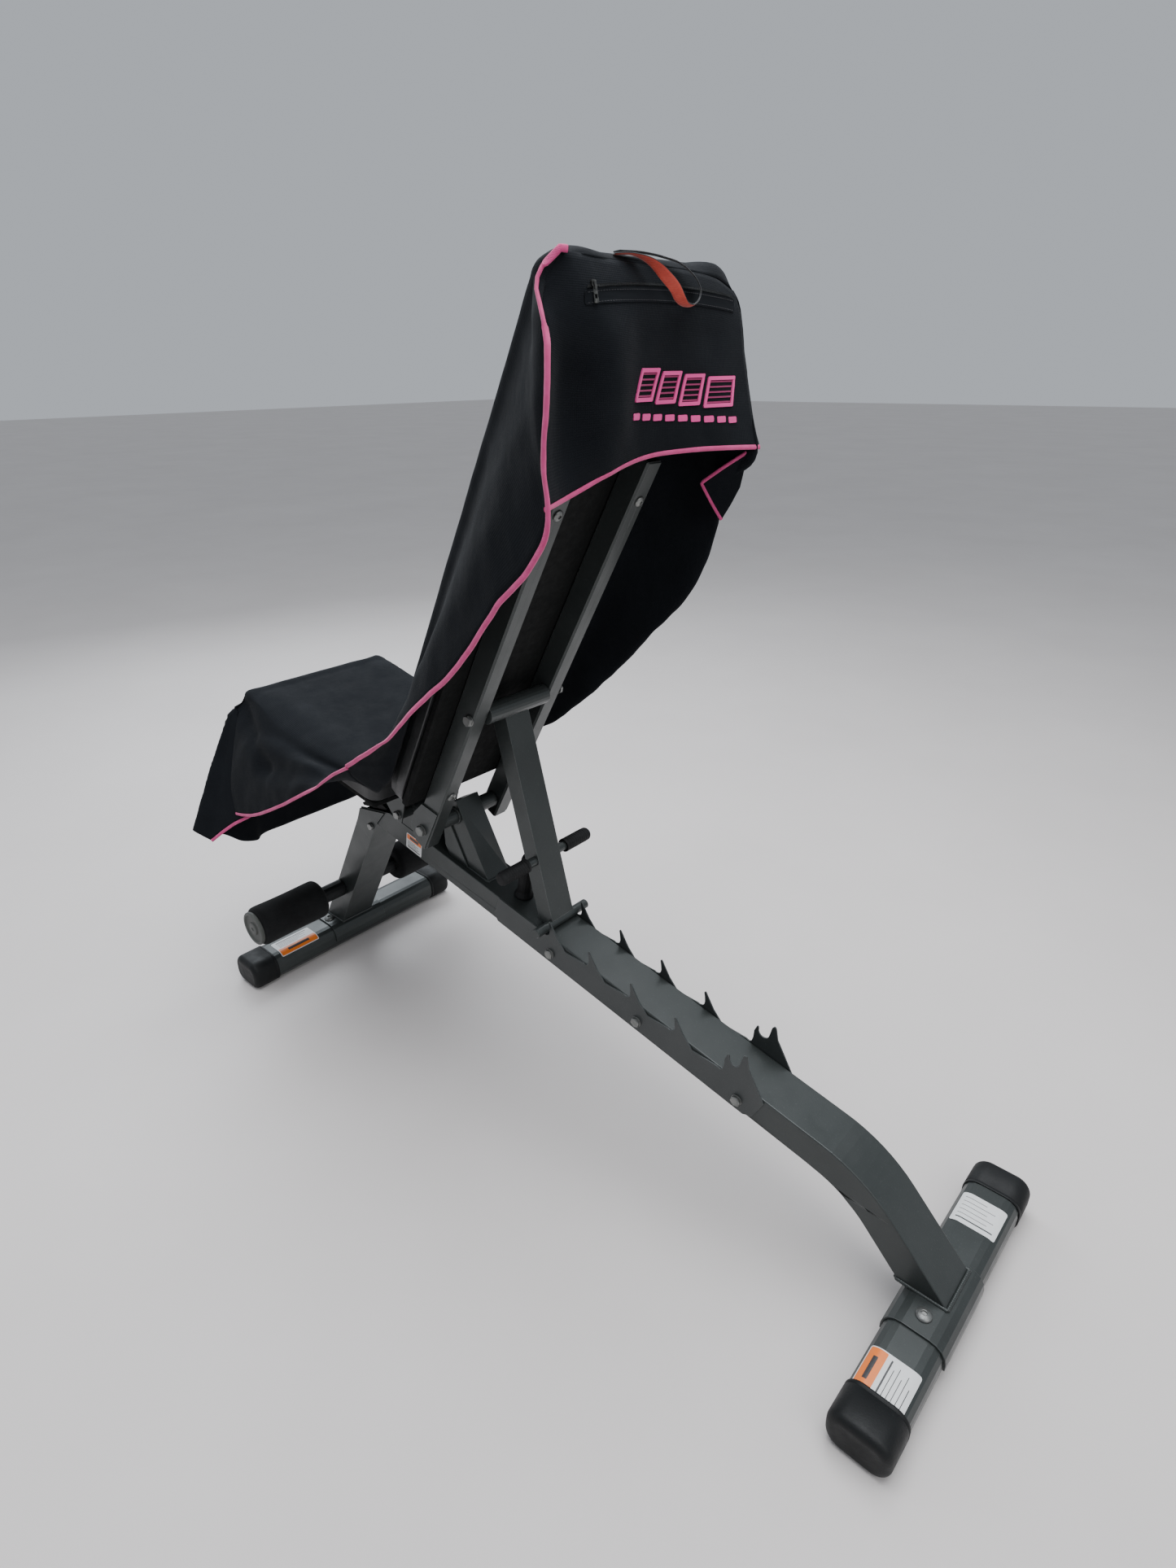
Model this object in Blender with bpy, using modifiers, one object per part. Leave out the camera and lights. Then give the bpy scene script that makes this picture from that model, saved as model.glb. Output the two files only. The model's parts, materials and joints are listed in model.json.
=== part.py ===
"""Adjustable weight bench: bent spine on two floor feet, reclining back on a ladder strut, tilting seat.

Metres. +X runs from the seat end to the ladder end, -Y is the sitter's left, +Z is up.
The origin lies on the floor, in the middle of the overall length and width.
Each moving group hangs on an empty that sits on its joint's axis.
"""

import math

import bmesh
import bpy
from mathutils import Matrix, Vector

GAP = 0.0003                       # clearance between neighbouring pieces

# Driving dimensions
BEAM_SLOPE = math.radians(12.0)    # fall of the spine towards the ladder end
TAIL_SLOPE = math.radians(46.2)    # fall of the spine behind its bend
BEAM_KNEE = (0.574, 0.1804)        # where the two straight centre lines of the spine meet
BEAM_BEND_RADIUS = 0.185
BEAM_DEPTH = 0.0508
BEAM_WIDTH = 0.0762
WALL = 0.0025

FOOT_WIDTH = 0.081
FOOT_LOW = 0.002
FOOT_TOP = 0.059
FOOT_ROUND = 0.022
CAP_PROUD = 0.002
REAR_FOOT_X = 0.702
FRONT_FOOT_X = -0.683
REAR_SEAM_Y = 0.193                # caps start here on the rear foot
REAR_END_Y = 0.250
FRONT_SEAM_Y = 0.2075
FRONT_END_Y = 0.2625
SADDLE_SHEET = 0.003
SADDLE_TOP = FOOT_TOP + GAP + SADDLE_SHEET

LEG_SLOPE = math.radians(59.5)
LEG_POINT = (-0.5561, 0.2711)      # a point on the centre line of the front leg
LEG_DEPTH = 0.0508

HINGE = (-0.232, 0.468)            # main back hinge
POST_SLOPE = math.radians(62.0)
POST_WIDTH = 0.0508
POST_DEPTH = 0.040

RAIL_SLOPE = math.radians(61.3)    # back rails above horizontal
RAIL_INNER_Y = 0.0655
RAIL_OUTER_Y = 0.0960
RAIL_DEPTH = 0.040
RAIL_LOW = -0.036                  # rail ends, measured along the rail from the hinge
RAIL_HIGH = 0.700
STRUT_PIVOT = (0.2778, -0.0121)    # along the rail, and forward of its centre line
STRUT_BOLT_RADIUS = 0.005

PIN_AT_REST = (0.0, 0.3385)
PIN_RADIUS = 0.0082
PIN_HALF_LENGTH = 0.062
STRUT_WIDTH = 0.0508
STRUT_DEPTH = 0.032
HANDLE_ABOVE_PIN = 0.1157

TOOTH_PITCH = 0.0887
FIRST_TIP = -0.3827                # along the spine's top, from LADDER_DATUM
LADDER_DATUM = (0.380, 0.2475)
SLOT_CENTRE = (0.3795, 0.2815)     # last notch, for the flat position
SLOT_RADIUS = 0.0092
PLATE_SHEET = 0.0025

BACK_LOW = 0.050                   # pad ends, measured along the rail from the hinge
BACK_HIGH = 0.893
BACK_HALF_WIDTH = 0.140
BOARD_THICK = 0.014
BACK_PAD_THICK = 0.040

SEAT_PIVOT = (-0.345, 0.447)
SEAT_SLOPE = math.radians(10.0)
SEAT_FRONT = -0.358
SEAT_REAR = 0.030
SEAT_HALF_WIDTH = 0.143
SEAT_TOP = 0.121
SEAT_PAD_THICK = 0.052

ROLLER_AXIS = (-0.630, 0.162)
ROLLER_RADIUS = 0.042
ROLLER_BAR_RADIUS = 0.0125
ROLLER_INNER_Y = 0.095
ROLLER_OUTER_Y = 0.250

CLOTH = 0.0025                     # thickness of the towel cover


# ---------------------------------------------------------------- scene

for old in list(bpy.data.objects):
    bpy.data.objects.remove(old, do_unlink=True)

parts = bpy.data.collections.new("weight_bench")
cutters = bpy.data.collections.new("cutters")
for group in (parts, cutters):
    bpy.context.scene.collection.children.link(group)


# ---------------------------------------------------------------- materials

def material(name, colour, roughness, metallic=0.0):
    made = bpy.data.materials.new(name)
    made.use_nodes = True
    shader = made.node_tree.nodes["Principled BSDF"]
    shader.inputs["Base Color"].default_value = (*colour, 1.0)
    shader.inputs["Roughness"].default_value = roughness
    shader.inputs["Metallic"].default_value = metallic
    return made


PAINT = material("frame_paint", (0.085, 0.092, 0.092), 0.42, 0.35)
LADDER_PAINT = material("ladder_paint", (0.095, 0.100, 0.098), 0.45, 0.35)
ZINC = material("zinc_bolt", (0.55, 0.56, 0.55), 0.35, 0.9)
BLACK_PLASTIC = material("black_plastic", (0.012, 0.012, 0.013), 0.5)
RUBBER = material("black_rubber", (0.015, 0.015, 0.016), 0.65)
FOAM = material("black_foam", (0.012, 0.012, 0.013), 0.9)
GREY_PLASTIC = material("grey_plastic", (0.075, 0.078, 0.070), 0.55)
VINYL = material("black_vinyl", (0.020, 0.021, 0.023), 0.45)
BOARD = material("board", (0.020, 0.019, 0.018), 0.8)
TOWEL = material("towel_cloth", (0.030, 0.034, 0.045), 0.95)


# ---------------------------------------------------------------- helpers

def show(obj, finish):
    parts.objects.link(obj)
    obj.data.materials.clear()
    obj.data.materials.append(finish)
    return obj


def hide(obj):
    cutters.objects.link(obj)
    obj.hide_render = True
    obj.display_type = "WIRE"
    return obj


def mesh_object(name, bm, smooth_angle=35.0):
    bmesh.ops.recalc_face_normals(bm, faces=bm.faces)
    mesh = bpy.data.meshes.new(name)
    bm.to_mesh(mesh)
    bm.free()
    mesh.shade_smooth()
    mesh.set_sharp_from_angle(angle=math.radians(smooth_angle))
    return bpy.data.objects.new(name, mesh)


PLANES = {
    "xz": Matrix(((1, 0, 0, 0), (0, 0, -1, 0), (0, 1, 0, 0), (0, 0, 0, 1))),
    "yz": Matrix(((0, 0, 1, 0), (1, 0, 0, 0), (0, 1, 0, 0), (0, 0, 0, 1))),
    "xy": Matrix.Identity(4),
}


def slab(name, outline, low, high, plane="xz", holes=()):
    """A flat outline given thickness. It runs from low to high along the axis that its plane leaves out."""
    curve = bpy.data.curves.new(name, "CURVE")
    curve.dimensions = "2D"
    curve.fill_mode = "BOTH"
    curve.extrude = (high - low) / 2
    for loop in (outline, *holes):
        spline = curve.splines.new("POLY")
        spline.points.add(len(loop) - 1)
        for point, (a, b) in zip(spline.points, loop):
            point.co = (a, b, 0.0, 1.0)
        spline.use_cyclic_u = True
    guide = bpy.data.objects.new(name, curve)
    bpy.context.scene.collection.objects.link(guide)
    bpy.context.view_layer.update()
    mesh = bpy.data.meshes.new_from_object(guide.evaluated_get(bpy.context.evaluated_depsgraph_get()))
    bpy.data.objects.remove(guide, do_unlink=True)
    bm = bmesh.new()
    bm.from_mesh(mesh)
    bpy.data.meshes.remove(mesh)
    bmesh.ops.remove_doubles(bm, verts=bm.verts, dist=0.00001)
    middle = (low + high) / 2
    shift = {"xz": (0, middle, 0), "yz": (middle, 0, 0), "xy": (0, 0, middle)}[plane]
    bmesh.ops.transform(bm, matrix=Matrix.Translation(shift) @ PLANES[plane], verts=bm.verts)
    return mesh_object(name, bm)


def block(name, low, high, bevel=0.0, segments=3):
    bm = bmesh.new()
    bmesh.ops.create_cube(bm, size=1.0)
    size = [b - a for a, b in zip(low, high)]
    centre = [(a + b) / 2 for a, b in zip(low, high)]
    bmesh.ops.scale(bm, vec=size, verts=bm.verts)
    bmesh.ops.translate(bm, vec=centre, verts=bm.verts)
    if bevel:
        bmesh.ops.bevel(bm, geom=bm.edges[:], offset=bevel, segments=segments, profile=0.5, affect="EDGES")
    return mesh_object(name, bm, 50.0)


TURN = {
    "x": Matrix.Rotation(math.pi / 2, 4, "Y"),
    "y": Matrix.Rotation(math.pi / 2, 4, "X"),
    "z": Matrix.Identity(4),
}


def rod(name, radius, low, high, at, axis="y", sides=16, bevel=0.0):
    """A straight round bar, or a hexagon with 6 sides, along one axis from low to high through at."""
    bm = bmesh.new()
    bmesh.ops.create_cone(bm, cap_ends=True, segments=sides, radius1=radius, radius2=radius,
                          depth=high - low)
    if bevel:
        rims = [e for e in bm.edges if abs(e.verts[0].co.z - e.verts[1].co.z) < 1e-6]
        bmesh.ops.bevel(bm, geom=rims, offset=bevel, segments=1, profile=0.5, affect="EDGES")
    bmesh.ops.transform(bm, matrix=TURN[axis], verts=bm.verts)
    middle = (low + high) / 2
    place = {"x": (middle, *at), "y": (at[0], middle, at[1]), "z": (*at, middle)}[axis]
    bmesh.ops.translate(bm, vec=place, verts=bm.verts)
    return mesh_object(name, bm)


def turned(name, profile, at, axis="z", sides=16):
    """A turned shape. The profile's (radius, height) points run from the top down its outer side."""
    bm = bmesh.new()
    verts = [bm.verts.new((radius, 0.0, height)) for radius, height in profile]
    for a, b in zip(verts, verts[1:]):
        bm.edges.new((a, b))
    mesh = bpy.data.meshes.new(name)
    bm.to_mesh(mesh)
    bm.free()
    obj = bpy.data.objects.new(name, mesh)
    spin = obj.modifiers.new("spin", "SCREW")
    spin.axis = "Z"
    spin.steps = sides
    spin.render_steps = sides
    spin.use_merge_vertices = True
    spin.merge_threshold = 0.00001
    spin.use_smooth_shade = True
    obj.location = at
    if axis == "y":
        obj.rotation_euler = (-math.pi / 2, 0.0, 0.0)
    if axis == "-y":
        obj.rotation_euler = (math.pi / 2, 0.0, 0.0)
    return obj


def boolean(target, tool, operation):
    hide(tool)
    tool.parent = target.parent
    step = target.modifiers.new(operation.lower(), "BOOLEAN")
    step.operation = operation
    step.solver = "EXACT"
    step.object = tool
    return target


def cut(target, *tools):
    for tool in tools:
        boolean(target, tool, "DIFFERENCE")
    return target


def join(target, *others):
    for other in others:
        boolean(target, other, "UNION")
    return target


def on(axis, *objects):
    """Hang pieces, and what shapes them, on a joint's empty. Their shapes are in the empty's own frame."""
    for obj in objects:
        obj.parent = axis
        for step in obj.modifiers:
            if step.type == "BOOLEAN":
                on(axis, step.object)


def joint_empty(name, x, z, tilt=0.0, parent=None):
    empty = bpy.data.objects.new(name, None)
    empty.location = (x, 0.0, z)
    empty.rotation_euler = (0.0, tilt, 0.0)
    empty.parent = parent
    parts.objects.link(empty)
    return empty


def arc(centre, radius, start, end, steps):
    """Points on an arc in degrees, both ends included."""
    points = []
    for i in range(steps + 1):
        angle = math.radians(start + (end - start) * i / steps)
        points.append((centre[0] + radius * math.cos(angle), centre[1] + radius * math.sin(angle)))
    return points


def rounded_rectangle(cx, cz, width, height, radius, steps=4):
    loop = []
    for sx, sz, start in ((1, 1, 0), (-1, 1, 90), (-1, -1, 180), (1, -1, 270)):
        corner = (cx + sx * (width / 2 - radius), cz + sz * (height / 2 - radius))
        loop += arc(corner, radius, start, start + 90, steps)
    return loop


def offset_line(line, distance):
    """The line moved sideways by distance, positive to its left."""
    moved = []
    for i, point in enumerate(line):
        before = Vector(line[max(i - 1, 0)])
        after = Vector(line[min(i + 1, len(line) - 1)])
        here = Vector(point)
        ahead = (after - here).normalized() if i < len(line) - 1 else (here - before).normalized()
        behind = (here - before).normalized() if i > 0 else ahead
        side = (Vector((-ahead.y, ahead.x)) + Vector((-behind.y, behind.x))).normalized()
        stretch = side.dot(Vector((-ahead.y, ahead.x)))
        moved.append(tuple(here + side * distance / stretch))
    return moved


def band(line, depth):
    return offset_line(line, depth / 2) + offset_line(line, -depth / 2)[::-1]


def lengthened(line, extra):
    start = Vector(line[0])
    end = Vector(line[-1])
    first = tuple(start - (Vector(line[1]) - start).normalized() * extra)
    last = tuple(end + (end - Vector(line[-2])).normalized() * extra)
    return [first, *line[1:-1], last]


def square_tube(name, line, depth, width, wall=WALL):
    """A hollow rectangular tube along a line in the XZ plane, open at both ends."""
    outer = slab(name, band(line, depth), -width / 2, width / 2)
    inner = slab(name + "_bore", band(lengthened(line, 0.02), depth - 2 * wall),
                 -width / 2 + wall, width / 2 - wall)
    return cut(outer, inner)


def bolt(name, at, head_y, nut_y, shank, head=0.0095, head_high=0.0065, finish=ZINC):
    """A hexagon bolt along Y. Its head sits outside head_y and its nut outside nut_y."""
    way = 1 if nut_y > head_y else -1
    shank_ends = sorted((head_y - way * 0.001, nut_y + way * (head_high + 0.003)))
    body = rod(name, shank, *shank_ends, at)
    for label, face, out in (("head", head_y, -way), ("nut", nut_y, way)):
        ends = sorted((face, face + out * head_high))
        join(body, rod(name + "_" + label, head, *ends, at, sides=6, bevel=0.0008))
    return show(body, finish)


def dome_bolt(name, at, shank, length, radius=0.011, high=0.005, axis="z"):
    """A round-headed bolt whose head rests on at and whose shank runs away from it."""
    crown = []
    for i in range(5):
        angle = math.pi / 2 * i / 4
        crown.append((radius * math.sin(angle), 0.0008 + high * math.cos(angle)))
    profile = [*crown, (radius, 0.0), (shank, 0.0), (shank, -length), (0.0, -length)]
    return show(turned(name, profile, at, axis), ZINC)


def spine_top(x):
    """Height of the spine's top face on its straight part."""
    return LADDER_DATUM[1] + (LADDER_DATUM[0] - x) * math.tan(BEAM_SLOPE)


def spine_bottom(x):
    return spine_top(x) - BEAM_DEPTH / math.cos(BEAM_SLOPE)


# ---------------------------------------------------------------- joint axes

def along_rail(s, forward):
    """World (x, z) of a point measured along the back rails and forward of their centre line."""
    x = HINGE[0] + s * math.cos(RAIL_SLOPE) - forward * math.sin(RAIL_SLOPE)
    z = HINGE[1] + s * math.sin(RAIL_SLOPE) + forward * math.cos(RAIL_SLOPE)
    return x, z


BACK_TILT = math.pi / 2 - RAIL_SLOPE
back_axis = joint_empty("back_hinge_axis", *HINGE, BACK_TILT)
pivot_x, pivot_z = along_rail(*STRUT_PIVOT)
STRUT_LENGTH = math.hypot(PIN_AT_REST[0] - pivot_x, PIN_AT_REST[1] - pivot_z)
STRUT_LEAN = math.atan2(PIN_AT_REST[0] - pivot_x, pivot_z - PIN_AT_REST[1])
strut_axis = joint_empty("strut_pivot_axis", -STRUT_PIVOT[1], STRUT_PIVOT[0],
                         -STRUT_LEAN - BACK_TILT, back_axis)
seat_axis = joint_empty("seat_pivot_axis", *SEAT_PIVOT, SEAT_SLOPE)
roller_axis = joint_empty("roller_axis", *ROLLER_AXIS)


# ---------------------------------------------------------------- spine

def spine_line():
    knee = Vector(BEAM_KNEE)
    fore = Vector((math.cos(BEAM_SLOPE), -math.sin(BEAM_SLOPE)))
    aft = Vector((math.cos(TAIL_SLOPE), -math.sin(TAIL_SLOPE)))
    turn = TAIL_SLOPE - BEAM_SLOPE
    tangent = BEAM_BEND_RADIUS * math.tan(turn / 2)
    start = knee - fore * 1.16
    centre = knee - fore * tangent - Vector((math.sin(BEAM_SLOPE), math.cos(BEAM_SLOPE))) * BEAM_BEND_RADIUS
    bend = arc(centre, BEAM_BEND_RADIUS, 90 - math.degrees(BEAM_SLOPE), 90 - math.degrees(TAIL_SLOPE), 8)
    return [tuple(start), *bend, tuple(knee + aft * 0.23)]


main_beam = show(square_tube("main_beam", spine_line(), BEAM_DEPTH, BEAM_WIDTH), PAINT)
cut(main_beam,
    slab("beam_tail_trim", [(0.5, -0.1), (0.9, -0.1), (0.9, SADDLE_TOP + GAP), (0.5, SADDLE_TOP + GAP)],
         -0.06, 0.06),
    slab("beam_nose_trim", [(-0.395, 0.4195), (-0.511, 0.3985), (-0.5345, 0.3585), (-0.70, 0.30),
                            (-0.70, 0.60), (-0.395, 0.60)], -0.06, 0.06))


# ---------------------------------------------------------------- feet

def foot(name, x, seam_y, end_y):
    height = FOOT_TOP - FOOT_LOW
    middle = (FOOT_TOP + FOOT_LOW) / 2
    plug = 0.022
    outline = rounded_rectangle(x, middle, FOOT_WIDTH, height, FOOT_ROUND)
    bore = rounded_rectangle(x, middle, FOOT_WIDTH - 2 * WALL, height - 2 * WALL, FOOT_ROUND - WALL)
    tube = slab(name + "_foot_tube", outline, -seam_y - plug, seam_y + plug, holes=(bore,))
    show(tube, PAINT)
    for side, way in (("left", -1), ("right", 1)):
        shell = rounded_rectangle(x, middle, FOOT_WIDTH + 2 * CAP_PROUD, height + 2 * CAP_PROUD,
                                  FOOT_ROUND + CAP_PROUD)
        ends = sorted((way * seam_y, way * end_y))
        cap = slab(f"{name}_foot_cap_{side}", shell, *ends)
        rim = cap.modifiers.new("soft_rim", "BEVEL")
        rim.width = 0.007
        rim.segments = 2
        rim.limit_method = "ANGLE"
        rim.angle_limit = math.radians(60)
        socket = rounded_rectangle(x, middle, FOOT_WIDTH + 2 * GAP, height + 2 * GAP, FOOT_ROUND + GAP)
        depth = sorted((way * (seam_y - 0.01), way * (seam_y + plug + GAP)))
        cut(cap, slab(cap.name + "_socket", socket, *depth))
        show(cap, BLACK_PLASTIC)
    return tube


def saddle(name, x, left, right):
    """A sheet that wraps over a foot tube, under the frame member welded on it, reaching left and right of it."""
    height = FOOT_TOP - FOOT_LOW
    middle = (FOOT_TOP + FOOT_LOW) / 2
    skirt = 0.026

    def arch(grow):
        loop = rounded_rectangle(x, middle, FOOT_WIDTH + 2 * grow, height + 2 * grow, FOOT_ROUND + grow)
        upper = [p for p in loop if p[1] >= skirt + 0.002]
        upper.sort(key=lambda p: math.atan2(p[1] - middle, p[0] - x))
        half = FOOT_WIDTH / 2 + grow
        return [(x + half, skirt), *[p for p in upper], (x - half, skirt)]

    outline = arch(GAP + SADDLE_SHEET) + arch(GAP)[::-1]
    return show(slab(name, outline, -left, right), PAINT)


rear_tube = foot("rear", REAR_FOOT_X, REAR_SEAM_Y, REAR_END_Y)
front_tube = foot("front", FRONT_FOOT_X, FRONT_SEAM_Y, FRONT_END_Y)
rear_saddle = saddle("rear_saddle", REAR_FOOT_X, 0.0915, 0.0445)
front_saddle = saddle("front_saddle", FRONT_FOOT_X, 0.066, 0.066)

SADDLE_BOLT = 0.004
for place, tube, sheet, x, bolt_y in (("rear_saddle_bolt_left", rear_tube, rear_saddle, REAR_FOOT_X, -0.064),
                                      ("front_saddle_bolt_left", front_tube, front_saddle, FRONT_FOOT_X, -0.052),
                                      ("front_saddle_bolt_right", front_tube, front_saddle, FRONT_FOOT_X, 0.052)):
    dome_bolt(place, (x, bolt_y, SADDLE_TOP + GAP), SADDLE_BOLT, 0.018)
    for piece in (tube, sheet):
        cut(piece, rod(f"{piece.name}_hole_{place}", SADDLE_BOLT + GAP, 0.035, 0.075, (x, bolt_y), axis="z"))


# ---------------------------------------------------------------- front leg

leg_way = (math.cos(LEG_SLOPE), math.sin(LEG_SLOPE))
leg_line = [(LEG_POINT[0] + leg_way[0] * d, LEG_POINT[1] + leg_way[1] * d) for d in (-0.27, 0.15)]
front_leg = show(square_tube("front_leg", leg_line, LEG_DEPTH, BEAM_WIDTH), PAINT)
cut(front_leg,
    slab("leg_foot_trim", [(-0.9, -0.1), (-0.5, -0.1), (-0.5, SADDLE_TOP + GAP), (-0.9, SADDLE_TOP + GAP)],
         -0.06, 0.06),
    slab("leg_top_trim", [(-0.75, spine_bottom(-0.75) - GAP), (-0.3, spine_bottom(-0.3) - GAP),
                          (-0.3, 0.8), (-0.75, 0.8)], -0.06, 0.06),
    rod("leg_roller_hole", ROLLER_BAR_RADIUS + GAP, -0.06, 0.06, ROLLER_AXIS))

GUSSET_BOLT_AT = (-0.480, 0.366)
GUSSET = [(-0.513, 0.3955), (-0.430, 0.4105), (-0.459, 0.379), (-0.489, 0.331), (-0.529, 0.3615)]
SIDE_Y = BEAM_WIDTH / 2 + GAP
for side, way in (("left", -1), ("right", 1)):
    ends = sorted((way * SIDE_Y, way * (SIDE_Y + PLATE_SHEET)))
    plate = show(slab(f"front_gusset_{side}", GUSSET, *ends), PAINT)
    cut(plate, rod(plate.name + "_hole", 0.0053, -0.06, 0.06, GUSSET_BOLT_AT))
cut(front_leg, rod("gusset_bolt_hole", 0.0053, -0.06, 0.06, GUSSET_BOLT_AT))
OUTER_PLATE_Y = SIDE_Y + PLATE_SHEET + GAP
bolt("front_gusset_bolt", GUSSET_BOLT_AT, -OUTER_PLATE_Y, OUTER_PLATE_Y, 0.005, head=0.008, head_high=0.005)

nose = slab("spine_nose_cap", [(-0.507, 0.4012), (-0.512, 0.4050), *arc((-0.468, 0.4125), 0.024, 165, 35, 6),
                               (-0.431, 0.4190), (-0.431, 0.4148)], -0.034, 0.034)
show(nose, RUBBER)


# ---------------------------------------------------------------- ladder

def ladder_point(u, w):
    """World (x, z) from u along the spine's top face and w above it."""
    x = LADDER_DATUM[0] + u * math.cos(BEAM_SLOPE) + w * math.sin(BEAM_SLOPE)
    z = LADDER_DATUM[1] - u * math.sin(BEAM_SLOPE) + w * math.cos(BEAM_SLOPE)
    return x, z


def ladder_outline():
    """Saw teeth with hooked fronts, a last round slot between two tips, and a sloped rear end."""
    hook = [(-0.007, 0.0005), (-0.003, 0.0), (0.0015, 0.002), (0.0040, 0.006), (0.0042, 0.012),
            (0.0012, 0.022), (-0.0015, 0.0285), (-0.0008, 0.0303), (0.0008, 0.0306), (0.0022, 0.0295),
            (0.022, 0.0085), (0.042, -0.006)]
    points = []
    for tooth in range(4):
        tip = FIRST_TIP + tooth * TOOTH_PITCH
        points += [ladder_point(tip + u, w) for u, w in hook]
    dx = SLOT_CENTRE[0] - LADDER_DATUM[0]
    dz = SLOT_CENTRE[1] - LADDER_DATUM[1]
    slot_u = dx * math.cos(BEAM_SLOPE) - dz * math.sin(BEAM_SLOPE)
    slot_w = dx * math.sin(BEAM_SLOPE) + dz * math.cos(BEAM_SLOPE)
    small_tip = slot_u - SLOT_RADIUS - 0.0035
    tall_tip = slot_u + SLOT_RADIUS + 0.0035
    points += [ladder_point(small_tip + u, w)
               for u, w in ((-0.010, 0.0005), (-0.004, -0.0005), (-0.001, 0.003), (-0.0005, 0.012),
                            (-0.0025, 0.0255), (-0.0005, slot_w + 0.004), (0.0022, slot_w + 0.0035))]
    points += [ladder_point(u, w) for u, w in arc((slot_u, slot_w), SLOT_RADIUS, 180, 360, 8)]
    points += [ladder_point(tall_tip + u, w)
               for u, w in ((-0.0034, slot_w + 0.018), (-0.0015, slot_w + 0.0225), (0.0012, slot_w + 0.023),
                            (0.0035, slot_w + 0.0205), (0.0115, slot_w + 0.003))]
    depth = BEAM_DEPTH
    points += [ladder_point(0.0535, -0.004), ladder_point(0.044, -depth + 0.010),
               ladder_point(0.030, -depth + 0.001)]
    points += [ladder_point(FIRST_TIP - 0.115, -depth + 0.001), ladder_point(FIRST_TIP - 0.125, -depth + 0.012),
               ladder_point(FIRST_TIP - 0.118, 0.0005)]
    return points


LADDER_BOLT_U = (-0.370, -0.178, 0.015)
LADDER_BOLT_W = -0.0315
ladder_bolts = [ladder_point(u, LADDER_BOLT_W) for u in LADDER_BOLT_U]
for side, way in (("left", -1), ("right", 1)):
    ends = sorted((way * SIDE_Y, way * (SIDE_Y + PLATE_SHEET)))
    plate = show(slab(f"ladder_plate_{side}", ladder_outline(), *ends), LADDER_PAINT)
    for index, at in enumerate(ladder_bolts):
        cut(plate, rod(f"{plate.name}_hole_{index}", 0.0053, -0.06, 0.06, at))
for place, at in zip(("front", "middle", "rear"), ladder_bolts):
    cut(main_beam, rod(f"beam_ladder_hole_{place}", 0.0053, -0.06, 0.06, at))
    bolt(f"ladder_bolt_{place}", at, -OUTER_PLATE_Y, OUTER_PLATE_Y, 0.005, head=0.0088, head_high=0.006)


# ---------------------------------------------------------------- hinge post

post_way = (-math.cos(POST_SLOPE), math.sin(POST_SLOPE))
post_line = [(HINGE[0] + post_way[0] * d, HINGE[1] + post_way[1] * d) for d in (-0.16, 0.024)]
hinge_post = show(slab("hinge_post", band(post_line, POST_DEPTH), -POST_WIDTH / 2, POST_WIDTH / 2), PAINT)
join(hinge_post, rod("hinge_sleeve", 0.0145, -RAIL_INNER_Y + 0.0015, RAIL_INNER_Y - 0.0015, HINGE, sides=20))
cut(hinge_post,
    slab("post_bore", band([(HINGE[0] + post_way[0] * d, HINGE[1] + post_way[1] * d) for d in (-0.20, -0.018)],
                           POST_DEPTH - 2 * WALL), -POST_WIDTH / 2 + WALL, POST_WIDTH / 2 - WALL),
    rod("hinge_bore", 0.0063, -0.07, 0.07, HINGE),
    slab("post_foot_trim", [(-0.4, 0.1), (0.1, 0.1), (0.1, spine_top(0.1) + GAP), (-0.4, spine_top(-0.4) + GAP)],
         -0.06, 0.06))

POST_GUSSET = [(-0.203, spine_top(-0.203) + GAP), (-0.252, spine_top(-0.252) + GAP),
               (-0.262, 0.400), (-0.262, 0.438), (-0.2445, 0.4495)]
for side, way in (("left", -1), ("right", 1)):
    ends = sorted((way * (POST_WIDTH / 2 + GAP), way * (POST_WIDTH / 2 + GAP + 0.003)))
    show(slab(f"post_gusset_{side}", POST_GUSSET, *ends), PAINT)

HINGE_FACE = RAIL_OUTER_Y + 0.003 + GAP
bolt("hinge_bolt", HINGE, -HINGE_FACE, HINGE_FACE, 0.006, head=0.0105, head_high=0.0075)

stub = [(0.0, 0.0905), (0.006, 0.0895), (0.0105, 0.086), (0.0125, 0.080), (0.0125, 0.012), (0.017, 0.004),
        (0.017, 0.0), (0.0, 0.0)]
rest_stub = show(turned("rest_stub", stub, (-0.090, 0.0, spine_top(-0.090) + 0.0008)), RUBBER)
rest_stub.rotation_euler = (0.0, BEAM_SLOPE, 0.0)


# ---------------------------------------------------------------- back rest

def rail(side, way):
    low, high = sorted((way * RAIL_INNER_Y, way * RAIL_OUTER_Y))
    half = RAIL_DEPTH / 2
    tube = block(f"rail_{side}", (-half, low, RAIL_LOW), (half, high, RAIL_HIGH), 0.003, 1)
    lug_outline = [(0.018, -0.0325), (-0.005, -0.034), (-0.028, -0.012), (-0.030, 0.016), (-0.0195, 0.049),
                   (0.019, 0.060)]
    lug_ends = sorted((way * (RAIL_OUTER_Y - 0.0008), way * (RAIL_OUTER_Y + 0.003)))
    bore = block(f"rail_{side}_bore", (-half + 0.002, low + 0.002, RAIL_LOW - 0.02),
                 (half - 0.002, high - 0.002, RAIL_HIGH + 0.02))
    join(tube, slab(f"rail_{side}_lug", lug_outline, *lug_ends))
    cut(tube, bore,
        rod(f"rail_{side}_hinge_hole", 0.0063, -0.12, 0.12, (0.0, 0.0)),
        rod(f"rail_{side}_strut_hole", STRUT_BOLT_RADIUS + GAP, -0.12, 0.12, (-STRUT_PIVOT[1], STRUT_PIVOT[0])))
    return tube


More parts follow.
